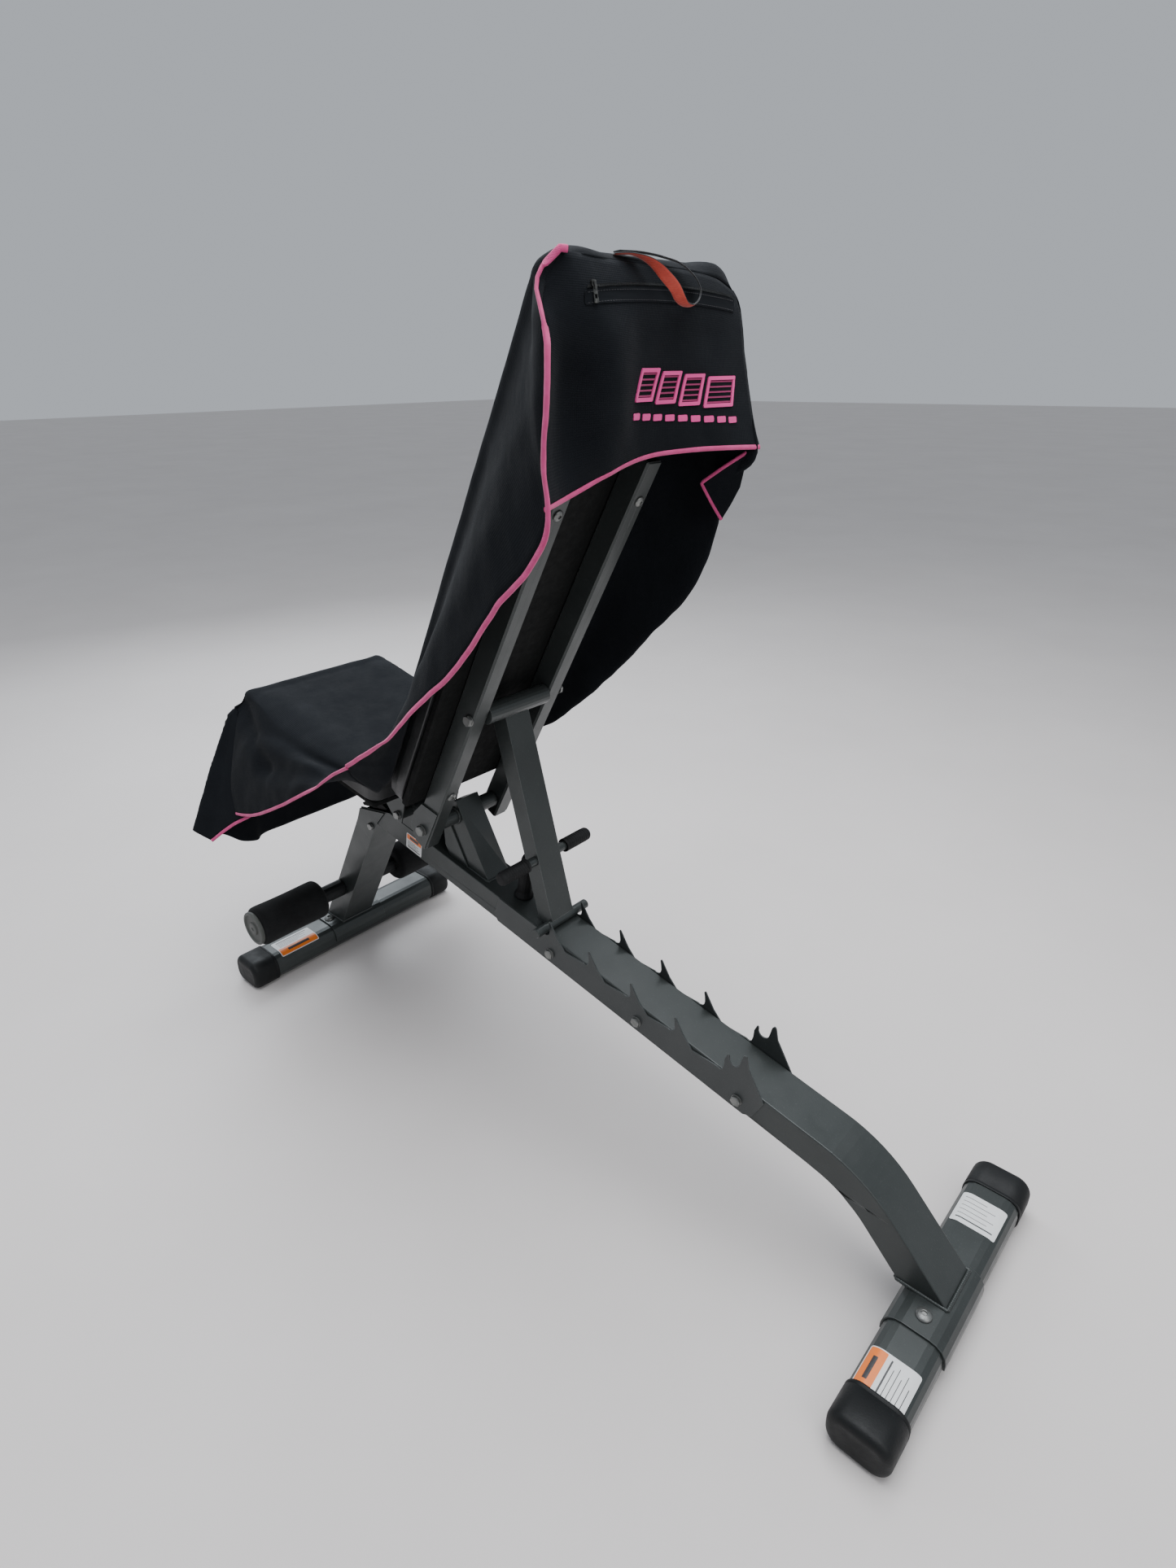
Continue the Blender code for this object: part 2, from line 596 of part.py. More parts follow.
RAIL_MIDDLE_Y = (RAIL_INNER_Y + RAIL_OUTER_Y) / 2
BOARD_FRONT = -RAIL_DEPTH / 2 - GAP - BOARD_THICK
PAD_FRONT = BOARD_FRONT - GAP - BACK_PAD_THICK
PAD_BOLT_S = (0.100, 0.640)

rails = {"left": rail("left", -1), "right": rail("right", 1)}
back_board = block("back_board", (BOARD_FRONT, -BACK_HALF_WIDTH + 0.006, BACK_LOW + 0.006),
                   (-RAIL_DEPTH / 2 - GAP, BACK_HALF_WIDTH - 0.006, BACK_HIGH - 0.006), 0.003, 1)
back_pad = block("back_pad", (PAD_FRONT, -BACK_HALF_WIDTH, BACK_LOW),
                 (BOARD_FRONT - GAP, BACK_HALF_WIDTH, BACK_HIGH), 0.014, 3)
for side, way in (("left", -1), ("right", 1)):
    for level, s in zip(("lower", "upper"), PAD_BOLT_S):
        y = way * RAIL_MIDDLE_Y
        name = f"pad_bolt_{level}_{side}"
        screw = turned(name, [*[(0.0078 * math.sin(math.pi / 2 * i / 4),
                                 0.001 + 0.0035 * math.cos(math.pi / 2 * i / 4)) for i in range(5)],
                              (0.0078, 0.0), (0.003, 0.0), (0.003, -0.049), (0.0, -0.049)],
                       (RAIL_DEPTH / 2 + GAP, y, s), sides=16)
        screw.rotation_euler = (0.0, math.pi / 2, 0.0)
        show(screw, ZINC)
        screw.parent = back_axis
        for piece, depth in ((rails[side], 0.03), (back_board, 0.0305)):
            hole = rod(f"{name}_{piece.name}", 0.003 + GAP, -depth, 0.03, (y, s), axis="x", sides=16)
            cut(piece, hole)
for piece, finish in ((rails["left"], PAINT), (rails["right"], PAINT), (back_board, BOARD), (back_pad, VINYL)):
    show(piece, finish)
    on(back_axis, piece)
strut_bolt = bolt("strut_bolt", (-STRUT_PIVOT[1], STRUT_PIVOT[0]), -RAIL_OUTER_Y - GAP, RAIL_OUTER_Y + GAP,
                  STRUT_BOLT_RADIUS, head=0.0095, head_high=0.0065)
on(back_axis, strut_bolt)


# ---------------------------------------------------------------- strut

PIN_INSIDE = 0.0062                # the pin's centre is this far ahead of the strut's rear face
strut_sleeve = rod("strut_sleeve", 0.016, -RAIL_INNER_Y + 0.0015, RAIL_INNER_Y - 0.0015, (0.0, 0.0), sides=20)
cut(strut_sleeve, rod("sleeve_bore", STRUT_BOLT_RADIUS + GAP, -0.08, 0.08, (0.0, 0.0)))
strut_tube = square_tube("strut_tube", [(-STRUT_DEPTH / 2, 0.0),
                                        (PIN_INSIDE * 1.08 - STRUT_DEPTH / 2, -STRUT_LENGTH * 1.08)],
                         STRUT_DEPTH, STRUT_WIDTH)
low_line = []
for x in (-0.08, 0.08):
    world = (x, spine_top(x) + 0.0042)
    dx = world[0] - pivot_x
    dz = world[1] - pivot_z
    low_line.append((dx * math.cos(STRUT_LEAN) + dz * math.sin(STRUT_LEAN),
                     -dx * math.sin(STRUT_LEAN) + dz * math.cos(STRUT_LEAN)))
pin_at = (0.0, -STRUT_LENGTH)
handle_at = (-0.0055, -STRUT_LENGTH + HANDLE_ABOVE_PIN)
cut(strut_tube,
    rod("strut_sleeve_seat", 0.016 + GAP, -0.08, 0.08, (0.0, 0.0), sides=20),
    slab("strut_crown_trim", [(-0.06, -0.006), (0.03, -0.006), (0.03, 0.04), (-0.06, 0.04)], -0.05, 0.05),
    slab("strut_foot_trim", [low_line[0], low_line[1], (low_line[1][0], low_line[1][1] - 0.10),
                             (low_line[0][0], low_line[0][1] - 0.10)], -0.05, 0.05),
    rod("strut_pin_hole", PIN_RADIUS + GAP, -0.05, 0.05, pin_at),
    slab("strut_heel_trim", [(0.0, pin_at[1]), (0.03, pin_at[1]), (0.03, pin_at[1] - 0.04),
                             (0.0, pin_at[1] - 0.04)], -0.05, 0.05),
    rod("strut_handle_hole", 0.008 + GAP, -0.05, 0.05, handle_at))
strut_pin = rod("strut_pin", PIN_RADIUS, -PIN_HALF_LENGTH, PIN_HALF_LENGTH, pin_at, bevel=0.0012)
handle_bar = rod("handle_bar", 0.008, -0.101, 0.101, handle_at)
pieces = [(strut_sleeve, PAINT), (strut_tube, PAINT), (strut_pin, PAINT), (handle_bar, PAINT)]
for side, way in (("left", -1), ("right", 1)):
    ends = sorted((way * 0.044, way * 0.1045))
    grip = rod(f"grip_{side}", 0.0122, *ends, handle_at, bevel=0.003)
    hollow = sorted((way * 0.040, way * (0.101 + GAP)))
    cut(grip, rod(f"grip_{side}_bore", 0.008 + GAP, *hollow, handle_at))
    pieces.append((grip, RUBBER))
for piece, finish in pieces:
    show(piece, finish)
    on(strut_axis, piece)


# ---------------------------------------------------------------- seat

BOARD_LOW = SEAT_TOP - SEAT_PAD_THICK - BOARD_THICK - GAP
FRAME_TOP = BOARD_LOW - GAP
seat_pad = block("seat_pad", (SEAT_FRONT, -SEAT_HALF_WIDTH, SEAT_TOP - SEAT_PAD_THICK),
                 (SEAT_REAR, SEAT_HALF_WIDTH, SEAT_TOP), 0.016, 3)
seat_board = block("seat_board", (SEAT_FRONT + 0.006, -SEAT_HALF_WIDTH + 0.006, BOARD_LOW),
                   (SEAT_REAR - 0.006, SEAT_HALF_WIDTH - 0.006, BOARD_LOW + BOARD_THICK), 0.003, 1)

SEAT_RAIL_Y = 0.0640
SIDE_SHEET = 0.003
side_outline = [(0.022, FRAME_TOP), (0.010, -0.014), (-0.008, -0.015), (-0.060, FRAME_TOP - 0.024),
                (-0.300, FRAME_TOP - 0.024), (-0.318, FRAME_TOP - 0.010), (-0.318, FRAME_TOP)]
seat_frame = slab("seat_frame", side_outline, SEAT_RAIL_Y, SEAT_RAIL_Y + SIDE_SHEET)
other_side = slab("seat_frame_other_side", side_outline, -SEAT_RAIL_Y - SIDE_SHEET, -SEAT_RAIL_Y)
web = slab("seat_frame_web", [(-0.306, FRAME_TOP - 0.003), (0.016, FRAME_TOP - 0.003), (0.016, FRAME_TOP),
                              (-0.306, FRAME_TOP)], -SEAT_RAIL_Y - 0.001, SEAT_RAIL_Y + 0.001)
join(seat_frame, web, other_side)
cut(seat_frame, rod("seat_hinge_hole", 0.0053, -0.08, 0.08, (0.0, 0.0)))

SECTOR_Y = 0.0415
SECTOR_SHEET = 0.004
SLOT_RING = 0.0895                 # radius of the slot's middle line about the seat's hinge
SLOT_HALF = 0.0055
HANGER_TOP = FRAME_TOP - 0.0035
hanger = (arc((0.0, 0.0), SLOT_RING + 0.0145, 195, 248, 7) + arc((0.0, 0.0), SLOT_RING - 0.0145, 248, 200, 7)
          + [(-0.070, HANGER_TOP), (-0.118, HANGER_TOP)])
slot = (arc((0.0, 0.0), SLOT_RING + SLOT_HALF, 214, 241, 6)
        + arc((0.0, 0.0), SLOT_RING - SLOT_HALF, 241, 214, 6))
seat_sector = slab("seat_sector", hanger, SECTOR_Y, SECTOR_Y + SECTOR_SHEET, holes=(slot,))
for piece, finish in ((seat_pad, VINYL), (seat_board, BOARD), (seat_frame, PAINT), (seat_sector, PAINT)):
    show(piece, finish)
    on(seat_axis, piece)


# ---------------------------------------------------------------- seat bracket and clamp knob

BRACKET_Y = 0.0560
foot_a = -0.385
foot_b = -0.305
cheek = [(foot_a, spine_top(foot_a) + GAP), (foot_b, spine_top(foot_b) + GAP), (-0.327, 0.458),
         (-0.336, 0.463), (-0.354, 0.463), (-0.363, 0.458)]
floor_plate = [(foot_a, spine_top(foot_a) + GAP), (foot_b, spine_top(foot_b) + GAP),
               (foot_b, spine_top(foot_b) + GAP + 0.003), (foot_a, spine_top(foot_a) + GAP + 0.003)]
seat_bracket = slab("seat_bracket", floor_plate, -0.0375, 0.0375)
for side, way in (("left", -1), ("right", 1)):
    ends = sorted((way * 0.0345, way * 0.0380))
    join(seat_bracket, slab(f"bracket_cheek_{side}", cheek, *ends))
join(seat_bracket, rod("bracket_sleeve", 0.0105, -SEAT_RAIL_Y + 0.0008, SEAT_RAIL_Y - 0.0008, SEAT_PIVOT))
cut(seat_bracket, rod("bracket_bore", 0.0053, -0.08, 0.08, SEAT_PIVOT))
show(seat_bracket, PAINT)
SEAT_FACE = SEAT_RAIL_Y + SIDE_SHEET + GAP
bolt("seat_hinge_bolt", SEAT_PIVOT, -SEAT_FACE, SEAT_FACE, 0.005, head=0.0088, head_high=0.006)

CLAMP_ANGLE = math.radians(218.7)   # direction of the knob from the seat's hinge
CLAMP_AT = (SEAT_PIVOT[0] + SLOT_RING * math.cos(CLAMP_ANGLE),
            SEAT_PIVOT[1] + SLOT_RING * math.sin(CLAMP_ANGLE))
knob_points = []
for lobe in range(40):
    angle = 2 * math.pi * lobe / 40
    knob_points.append((CLAMP_AT[0] + (0.0195 + 0.0025 * math.cos(5 * angle)) * math.cos(angle),
                        CLAMP_AT[1] + (0.0195 + 0.0025 * math.cos(5 * angle)) * math.sin(angle)))
clamp_knob = slab("clamp_knob", knob_points, SECTOR_Y + SECTOR_SHEET + 0.0035, SECTOR_Y + SECTOR_SHEET + 0.0195)
join(clamp_knob, rod("clamp_collar", 0.0095, SECTOR_Y + SECTOR_SHEET + GAP, SECTOR_Y + SECTOR_SHEET + 0.005,
                     CLAMP_AT),
     rod("clamp_shank", 0.005, 0.020, SECTOR_Y + SECTOR_SHEET + 0.010, CLAMP_AT))
show(clamp_knob, BLACK_PLASTIC)
cut(main_beam, rod("clamp_hole", 0.0053, 0.015, 0.06, CLAMP_AT))


# ---------------------------------------------------------------- foam rollers

END_CAP = 0.006
roller_bar = show(rod("roller_bar", ROLLER_BAR_RADIUS, -ROLLER_OUTER_Y + 0.004, ROLLER_OUTER_Y - 0.004,
                      ROLLER_AXIS), PAINT)
for side, way in (("left", -1), ("right", 1)):
    collar_ends = sorted((way * (BEAM_WIDTH / 2 + GAP), way * (ROLLER_INNER_Y - 0.0015)))
    collar = rod(f"roller_collar_{side}", 0.0185, *collar_ends, ROLLER_AXIS, bevel=0.002)
    cut(collar, rod(f"collar_{side}_bore", ROLLER_BAR_RADIUS + GAP, -0.12, 0.12, ROLLER_AXIS))
    show(collar, BLACK_PLASTIC)
    foam_ends = sorted((way * ROLLER_INNER_Y, way * (ROLLER_OUTER_Y - END_CAP)))
    foam = rod(f"foam_roller_{side}", ROLLER_RADIUS, *foam_ends, (0.0, 0.0), sides=24, bevel=0.006)
    cut(foam, rod(f"foam_{side}_bore", ROLLER_BAR_RADIUS + 0.0006, -0.30, 0.30, (0.0, 0.0)))
    cap_ends = sorted((way * (ROLLER_OUTER_Y - END_CAP + GAP), way * (ROLLER_OUTER_Y + 0.002)))
    cap = rod(f"roller_cap_{side}", ROLLER_RADIUS - 0.006, *cap_ends, (0.0, 0.0), sides=24, bevel=0.0015)
    recess = sorted((way * 0.20, way * (ROLLER_OUTER_Y - 0.0035)))
    cut(cap, rod(f"cap_{side}_recess", ROLLER_BAR_RADIUS + 0.0006, *recess, (0.0, 0.0)))
    for piece, finish in ((foam, FOAM), (cap, GREY_PLASTIC)):
        show(piece, finish)
        on(roller_axis, piece)


# ---------------------------------------------------------------- towel cover

def flared_box(name, closed, opened, closed_box, opened_box, axis):
    """A box that widens along one axis. Each end is (low, high, half width) at its own height."""
    bm = bmesh.new()
    bmesh.ops.create_cube(bm, size=1.0)
    for vert in bm.verts:
        end, box = (closed, closed_box) if (vert.co.z > 0) else (opened, opened_box)
        other = box[1] if vert.co.x > 0 else box[0]
        side = box[2] if vert.co.y > 0 else -box[2]
        vert.co = (other, side, end) if axis == "z" else (end, side, other)
    return mesh_object(name, bm)


def widened(closed, opened, closed_box, opened_box, grow):
    """The open end carried on to another height, along the same sloping sides."""
    part = (grow - closed) / (opened - closed)
    return tuple(a + (b - a) * part for a, b in zip(closed_box, opened_box))


def hood(name, closed, opened, closed_box, opened_box, axis, open_low, open_high):
    """Cloth over a pad: one closed face and sloping sides. The sides at open_low or open_high are left off."""
    outer = flared_box(name, closed, opened, closed_box, opened_box, axis)
    inward = CLOTH if opened > closed else -CLOTH
    past = opened + (0.03 if opened > closed else -0.03)
    past_box = widened(closed, opened, closed_box, opened_box, past)

    def inside(box):
        low = box[0] - 0.03 if open_low else box[0] + CLOTH
        high = box[1] + 0.03 if open_high else box[1] - CLOTH
        return low, high, box[2] - CLOTH

    inner = flared_box(name + "_inside", closed + inward, past, inside(closed_box), inside(past_box), axis)
    return cut(outer, inner)


COVER_GAP = 0.002
BACK_COVER_FRONT = PAD_FRONT - COVER_GAP - CLOTH
BACK_COVER_TOP = BACK_HIGH + COVER_GAP + CLOTH
back_cover = hood("back_cover", BACK_COVER_FRONT, 0.090, (0.036, BACK_COVER_TOP, 0.146),
                  (0.036, BACK_COVER_TOP, 0.190), "x", True, False)
REAR_FLAP = 0.029
join(back_cover, block("rear_flap", (REAR_FLAP, -0.170, 0.600), (REAR_FLAP + CLOTH, 0.170, BACK_COVER_TOP - 0.001)))
side_hem = [(BACK_COVER_FRONT + 0.004, -0.05), (BACK_COVER_FRONT + 0.004, 0.150), (-0.034, 0.2435),
            (0.005, 0.353), (0.041, 0.443), (0.062, 0.530), (0.055, 0.600), (REAR_FLAP + CLOTH, 0.620),
            (REAR_FLAP + CLOTH, 1.0), (0.20, 1.0), (0.20, -0.05)]
cut(back_cover, slab("back_hem_trim", side_hem, -0.30, 0.30))
show(back_cover, TOWEL)
on(back_axis, back_cover)

COVER_TOP = SEAT_TOP + COVER_GAP + CLOTH
COVER_LOW = -0.187
NOSE = SEAT_FRONT - COVER_GAP - CLOTH
seat_cover = hood("seat_cover", COVER_TOP, COVER_LOW, (NOSE, SEAT_REAR - 0.006, 0.150),
                  (NOSE - 0.0125, SEAT_REAR - 0.006, 0.258), "z", False, True)
seat_hem = [(NOSE + 0.004, -0.30), (NOSE + 0.004, -0.135), (-0.130, 0.0206), (-0.020, 0.110),
            (0.080, 0.112), (0.080, -0.30)]
cut(seat_cover, slab("seat_hem_trim", seat_hem, -0.30, 0.30))
show(seat_cover, TOWEL)
on(seat_axis, seat_cover)
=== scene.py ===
import json
import math

import bmesh
import bpy
import numpy as np
from mathutils import Matrix, Vector, noise
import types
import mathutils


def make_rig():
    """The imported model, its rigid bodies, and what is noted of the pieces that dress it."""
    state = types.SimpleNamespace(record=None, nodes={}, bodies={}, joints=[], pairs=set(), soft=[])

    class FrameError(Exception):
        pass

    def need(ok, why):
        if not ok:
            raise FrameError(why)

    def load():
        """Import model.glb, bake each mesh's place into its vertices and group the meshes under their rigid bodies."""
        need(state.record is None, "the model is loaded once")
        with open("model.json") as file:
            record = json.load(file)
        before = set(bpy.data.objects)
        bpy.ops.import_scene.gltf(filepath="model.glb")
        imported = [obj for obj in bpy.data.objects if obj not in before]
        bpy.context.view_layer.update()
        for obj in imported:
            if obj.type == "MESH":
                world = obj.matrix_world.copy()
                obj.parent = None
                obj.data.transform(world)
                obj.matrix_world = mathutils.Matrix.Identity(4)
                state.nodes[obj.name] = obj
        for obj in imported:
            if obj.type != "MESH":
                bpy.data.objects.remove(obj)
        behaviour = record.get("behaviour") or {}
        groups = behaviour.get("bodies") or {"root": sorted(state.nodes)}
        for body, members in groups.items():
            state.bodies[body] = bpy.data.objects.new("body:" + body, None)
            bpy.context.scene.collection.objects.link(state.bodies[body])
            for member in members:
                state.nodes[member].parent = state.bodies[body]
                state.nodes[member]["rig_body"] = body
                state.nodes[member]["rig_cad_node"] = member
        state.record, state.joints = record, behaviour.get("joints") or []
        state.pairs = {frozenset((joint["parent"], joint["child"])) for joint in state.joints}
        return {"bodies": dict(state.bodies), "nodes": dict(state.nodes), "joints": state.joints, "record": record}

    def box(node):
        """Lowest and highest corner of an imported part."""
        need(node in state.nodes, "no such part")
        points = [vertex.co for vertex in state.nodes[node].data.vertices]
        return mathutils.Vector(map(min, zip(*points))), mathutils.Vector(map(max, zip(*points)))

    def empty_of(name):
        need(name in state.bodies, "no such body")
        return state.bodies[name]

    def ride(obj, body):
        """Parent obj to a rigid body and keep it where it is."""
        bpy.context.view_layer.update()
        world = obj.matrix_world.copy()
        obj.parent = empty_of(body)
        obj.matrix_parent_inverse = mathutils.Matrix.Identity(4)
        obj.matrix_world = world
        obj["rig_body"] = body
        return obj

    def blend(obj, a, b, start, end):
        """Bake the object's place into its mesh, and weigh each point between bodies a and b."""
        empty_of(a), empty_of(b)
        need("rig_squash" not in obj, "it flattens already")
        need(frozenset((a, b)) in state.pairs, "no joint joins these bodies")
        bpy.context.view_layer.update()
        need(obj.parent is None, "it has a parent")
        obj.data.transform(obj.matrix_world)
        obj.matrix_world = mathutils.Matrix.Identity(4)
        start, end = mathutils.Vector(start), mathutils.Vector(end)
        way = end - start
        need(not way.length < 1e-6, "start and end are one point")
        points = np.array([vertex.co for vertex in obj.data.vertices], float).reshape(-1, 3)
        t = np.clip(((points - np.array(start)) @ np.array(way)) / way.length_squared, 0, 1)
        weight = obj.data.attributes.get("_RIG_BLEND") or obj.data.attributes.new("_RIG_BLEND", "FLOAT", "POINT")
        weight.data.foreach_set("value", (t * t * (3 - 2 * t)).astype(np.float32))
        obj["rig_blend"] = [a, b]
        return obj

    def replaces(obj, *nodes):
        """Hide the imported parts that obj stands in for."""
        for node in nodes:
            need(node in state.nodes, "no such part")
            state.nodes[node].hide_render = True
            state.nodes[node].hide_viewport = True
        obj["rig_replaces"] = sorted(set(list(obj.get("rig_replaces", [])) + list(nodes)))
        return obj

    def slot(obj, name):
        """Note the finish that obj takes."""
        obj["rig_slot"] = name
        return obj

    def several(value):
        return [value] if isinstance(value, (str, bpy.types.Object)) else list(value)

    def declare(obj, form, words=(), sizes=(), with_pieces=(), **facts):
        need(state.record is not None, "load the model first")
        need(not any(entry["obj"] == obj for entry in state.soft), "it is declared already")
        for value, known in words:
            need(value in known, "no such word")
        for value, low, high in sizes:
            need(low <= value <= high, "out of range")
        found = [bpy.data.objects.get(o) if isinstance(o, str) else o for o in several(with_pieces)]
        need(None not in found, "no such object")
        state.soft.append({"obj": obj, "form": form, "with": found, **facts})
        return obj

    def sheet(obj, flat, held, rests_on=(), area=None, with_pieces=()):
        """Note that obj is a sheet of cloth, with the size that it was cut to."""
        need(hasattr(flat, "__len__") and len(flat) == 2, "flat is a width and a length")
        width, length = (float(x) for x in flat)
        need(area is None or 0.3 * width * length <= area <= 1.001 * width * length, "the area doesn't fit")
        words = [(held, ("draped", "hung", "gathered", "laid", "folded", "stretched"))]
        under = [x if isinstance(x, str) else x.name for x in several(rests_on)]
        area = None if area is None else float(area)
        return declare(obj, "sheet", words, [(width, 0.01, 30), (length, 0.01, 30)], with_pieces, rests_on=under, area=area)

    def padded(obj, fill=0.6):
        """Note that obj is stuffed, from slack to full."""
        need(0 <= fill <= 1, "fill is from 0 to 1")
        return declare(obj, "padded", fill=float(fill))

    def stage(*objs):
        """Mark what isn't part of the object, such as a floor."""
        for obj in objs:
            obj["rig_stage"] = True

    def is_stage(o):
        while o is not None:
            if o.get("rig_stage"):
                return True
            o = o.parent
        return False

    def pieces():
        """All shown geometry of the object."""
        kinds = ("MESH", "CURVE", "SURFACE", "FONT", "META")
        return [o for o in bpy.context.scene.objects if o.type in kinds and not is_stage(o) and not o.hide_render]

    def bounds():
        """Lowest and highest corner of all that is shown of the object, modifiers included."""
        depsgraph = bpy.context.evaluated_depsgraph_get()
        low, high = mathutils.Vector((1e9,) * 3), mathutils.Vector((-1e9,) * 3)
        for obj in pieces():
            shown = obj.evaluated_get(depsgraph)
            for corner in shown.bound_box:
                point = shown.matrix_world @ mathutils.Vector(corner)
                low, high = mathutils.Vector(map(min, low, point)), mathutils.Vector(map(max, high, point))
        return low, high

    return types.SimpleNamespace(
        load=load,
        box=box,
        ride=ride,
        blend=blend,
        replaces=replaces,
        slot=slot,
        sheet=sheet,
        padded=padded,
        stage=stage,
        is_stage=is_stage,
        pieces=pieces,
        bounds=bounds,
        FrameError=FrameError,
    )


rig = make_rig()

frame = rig.load()
nodes = frame["nodes"]
cad_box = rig.bounds()
scene = bpy.context.scene

# ------------------------------------------------------------------ places, in metres
HINGE = Vector((-0.232, 0.0, 0.468))
RAIL_SLOPE = math.radians(61.3)
SEAT_PIVOT = Vector((-0.345, 0.0, 0.447))
SEAT_SLOPE = math.radians(10.0)
CLOTH = 0.0024


def back_point(s, n, y):
    """s along the back rails from the hinge, n forward of their centre line."""
    c, k = math.cos(RAIL_SLOPE), math.sin(RAIL_SLOPE)
    return Vector((HINGE.x + s * c - n * k, y, HINGE.z + s * k + n * c))


def seat_point(a, y, h):
    """a rearward of the seat's pivot along the seat, h above it."""
    c, k = math.cos(SEAT_SLOPE), math.sin(SEAT_SLOPE)
    return Vector((SEAT_PIVOT.x + a * c + h * k, y, SEAT_PIVOT.z - a * k + h * c))


def mm(table):
    """Turns a nested table of millimetres into metres."""
    return tuple(mm(v) for v in table) if isinstance(table, tuple) else table / 1000


def add_object(name, data):
    made = bpy.data.objects.new(name, data)
    scene.collection.objects.link(made)
    return made


# ------------------------------------------------------------------ camera, light, floor
CAMERA_AT = (0.872, -0.896, 1.185)
CAMERA_TURN = (131.99, -25.42, -0.69)      # yaw, pitch and roll in degrees
CAMERA_LENS = 20.085                       # mm, before a 36 mm wide sensor


def camera():
    yaw, pitch, roll = (math.radians(v) for v in CAMERA_TURN)
    ahead = Vector((math.cos(pitch) * math.cos(yaw), math.cos(pitch) * math.sin(yaw), math.sin(pitch)))
    right = ahead.cross(Vector((0, 0, 1))).normalized()
    up = right.cross(ahead)
    side = math.cos(roll) * right + math.sin(roll) * up
    top = -math.sin(roll) * right + math.cos(roll) * up
    data = bpy.data.cameras.new("camera")
    data.lens = CAMERA_LENS
    data.sensor_width = 36.0
    data.clip_start = 0.05
    cam = add_object("camera", data)
    cam.matrix_world = Matrix([(side[i], top[i], -ahead[i], CAMERA_AT[i]) for i in range(3)] + [(0, 0, 0, 1)])
    scene.camera = cam


def area_light(name, at, aim, size, power, colour):
    data = bpy.data.lights.new(name, "AREA")
    data.shape = "RECTANGLE"
    data.size, data.size_y = size
    data.energy = power
    data.color = colour
    lamp = add_object(name, data)
    lamp.location = at
    lamp.rotation_euler = (Vector(aim) - Vector(at)).to_track_quat("-Z", "Y").to_euler()


camera()
area_light("ceiling_panel", (0.1, 0.2, 3.0), (0.0, 0.0, 0.4), (3.0, 2.6), 130.0, (0.95, 0.97, 1.0))
area_light("window_side", (-2.8, 1.0, 2.0), (0.0, 0.0, 0.5), (1.8, 1.8), 46.0, (0.88, 0.94, 1.0))
area_light("rear_fill", (2.6, -0.6, 2.2), (0.1, 0.0, 0.5), (1.6, 1.6), 20.0, (1.0, 0.98, 0.95))
area_light("front_left", (-2.6, -1.6, 1.8), (-0.4, 0.0, 0.4), (1.6, 1.2), 6.0, (0.92, 0.95, 1.0))
world = bpy.data.worlds.new("studio")
world.use_nodes = True
world.node_tree.nodes["Background"].inputs[0].default_value = (0.82, 0.87, 0.94, 1.0)
world.node_tree.nodes["Background"].inputs[1].default_value = 0.56
scene.world = world


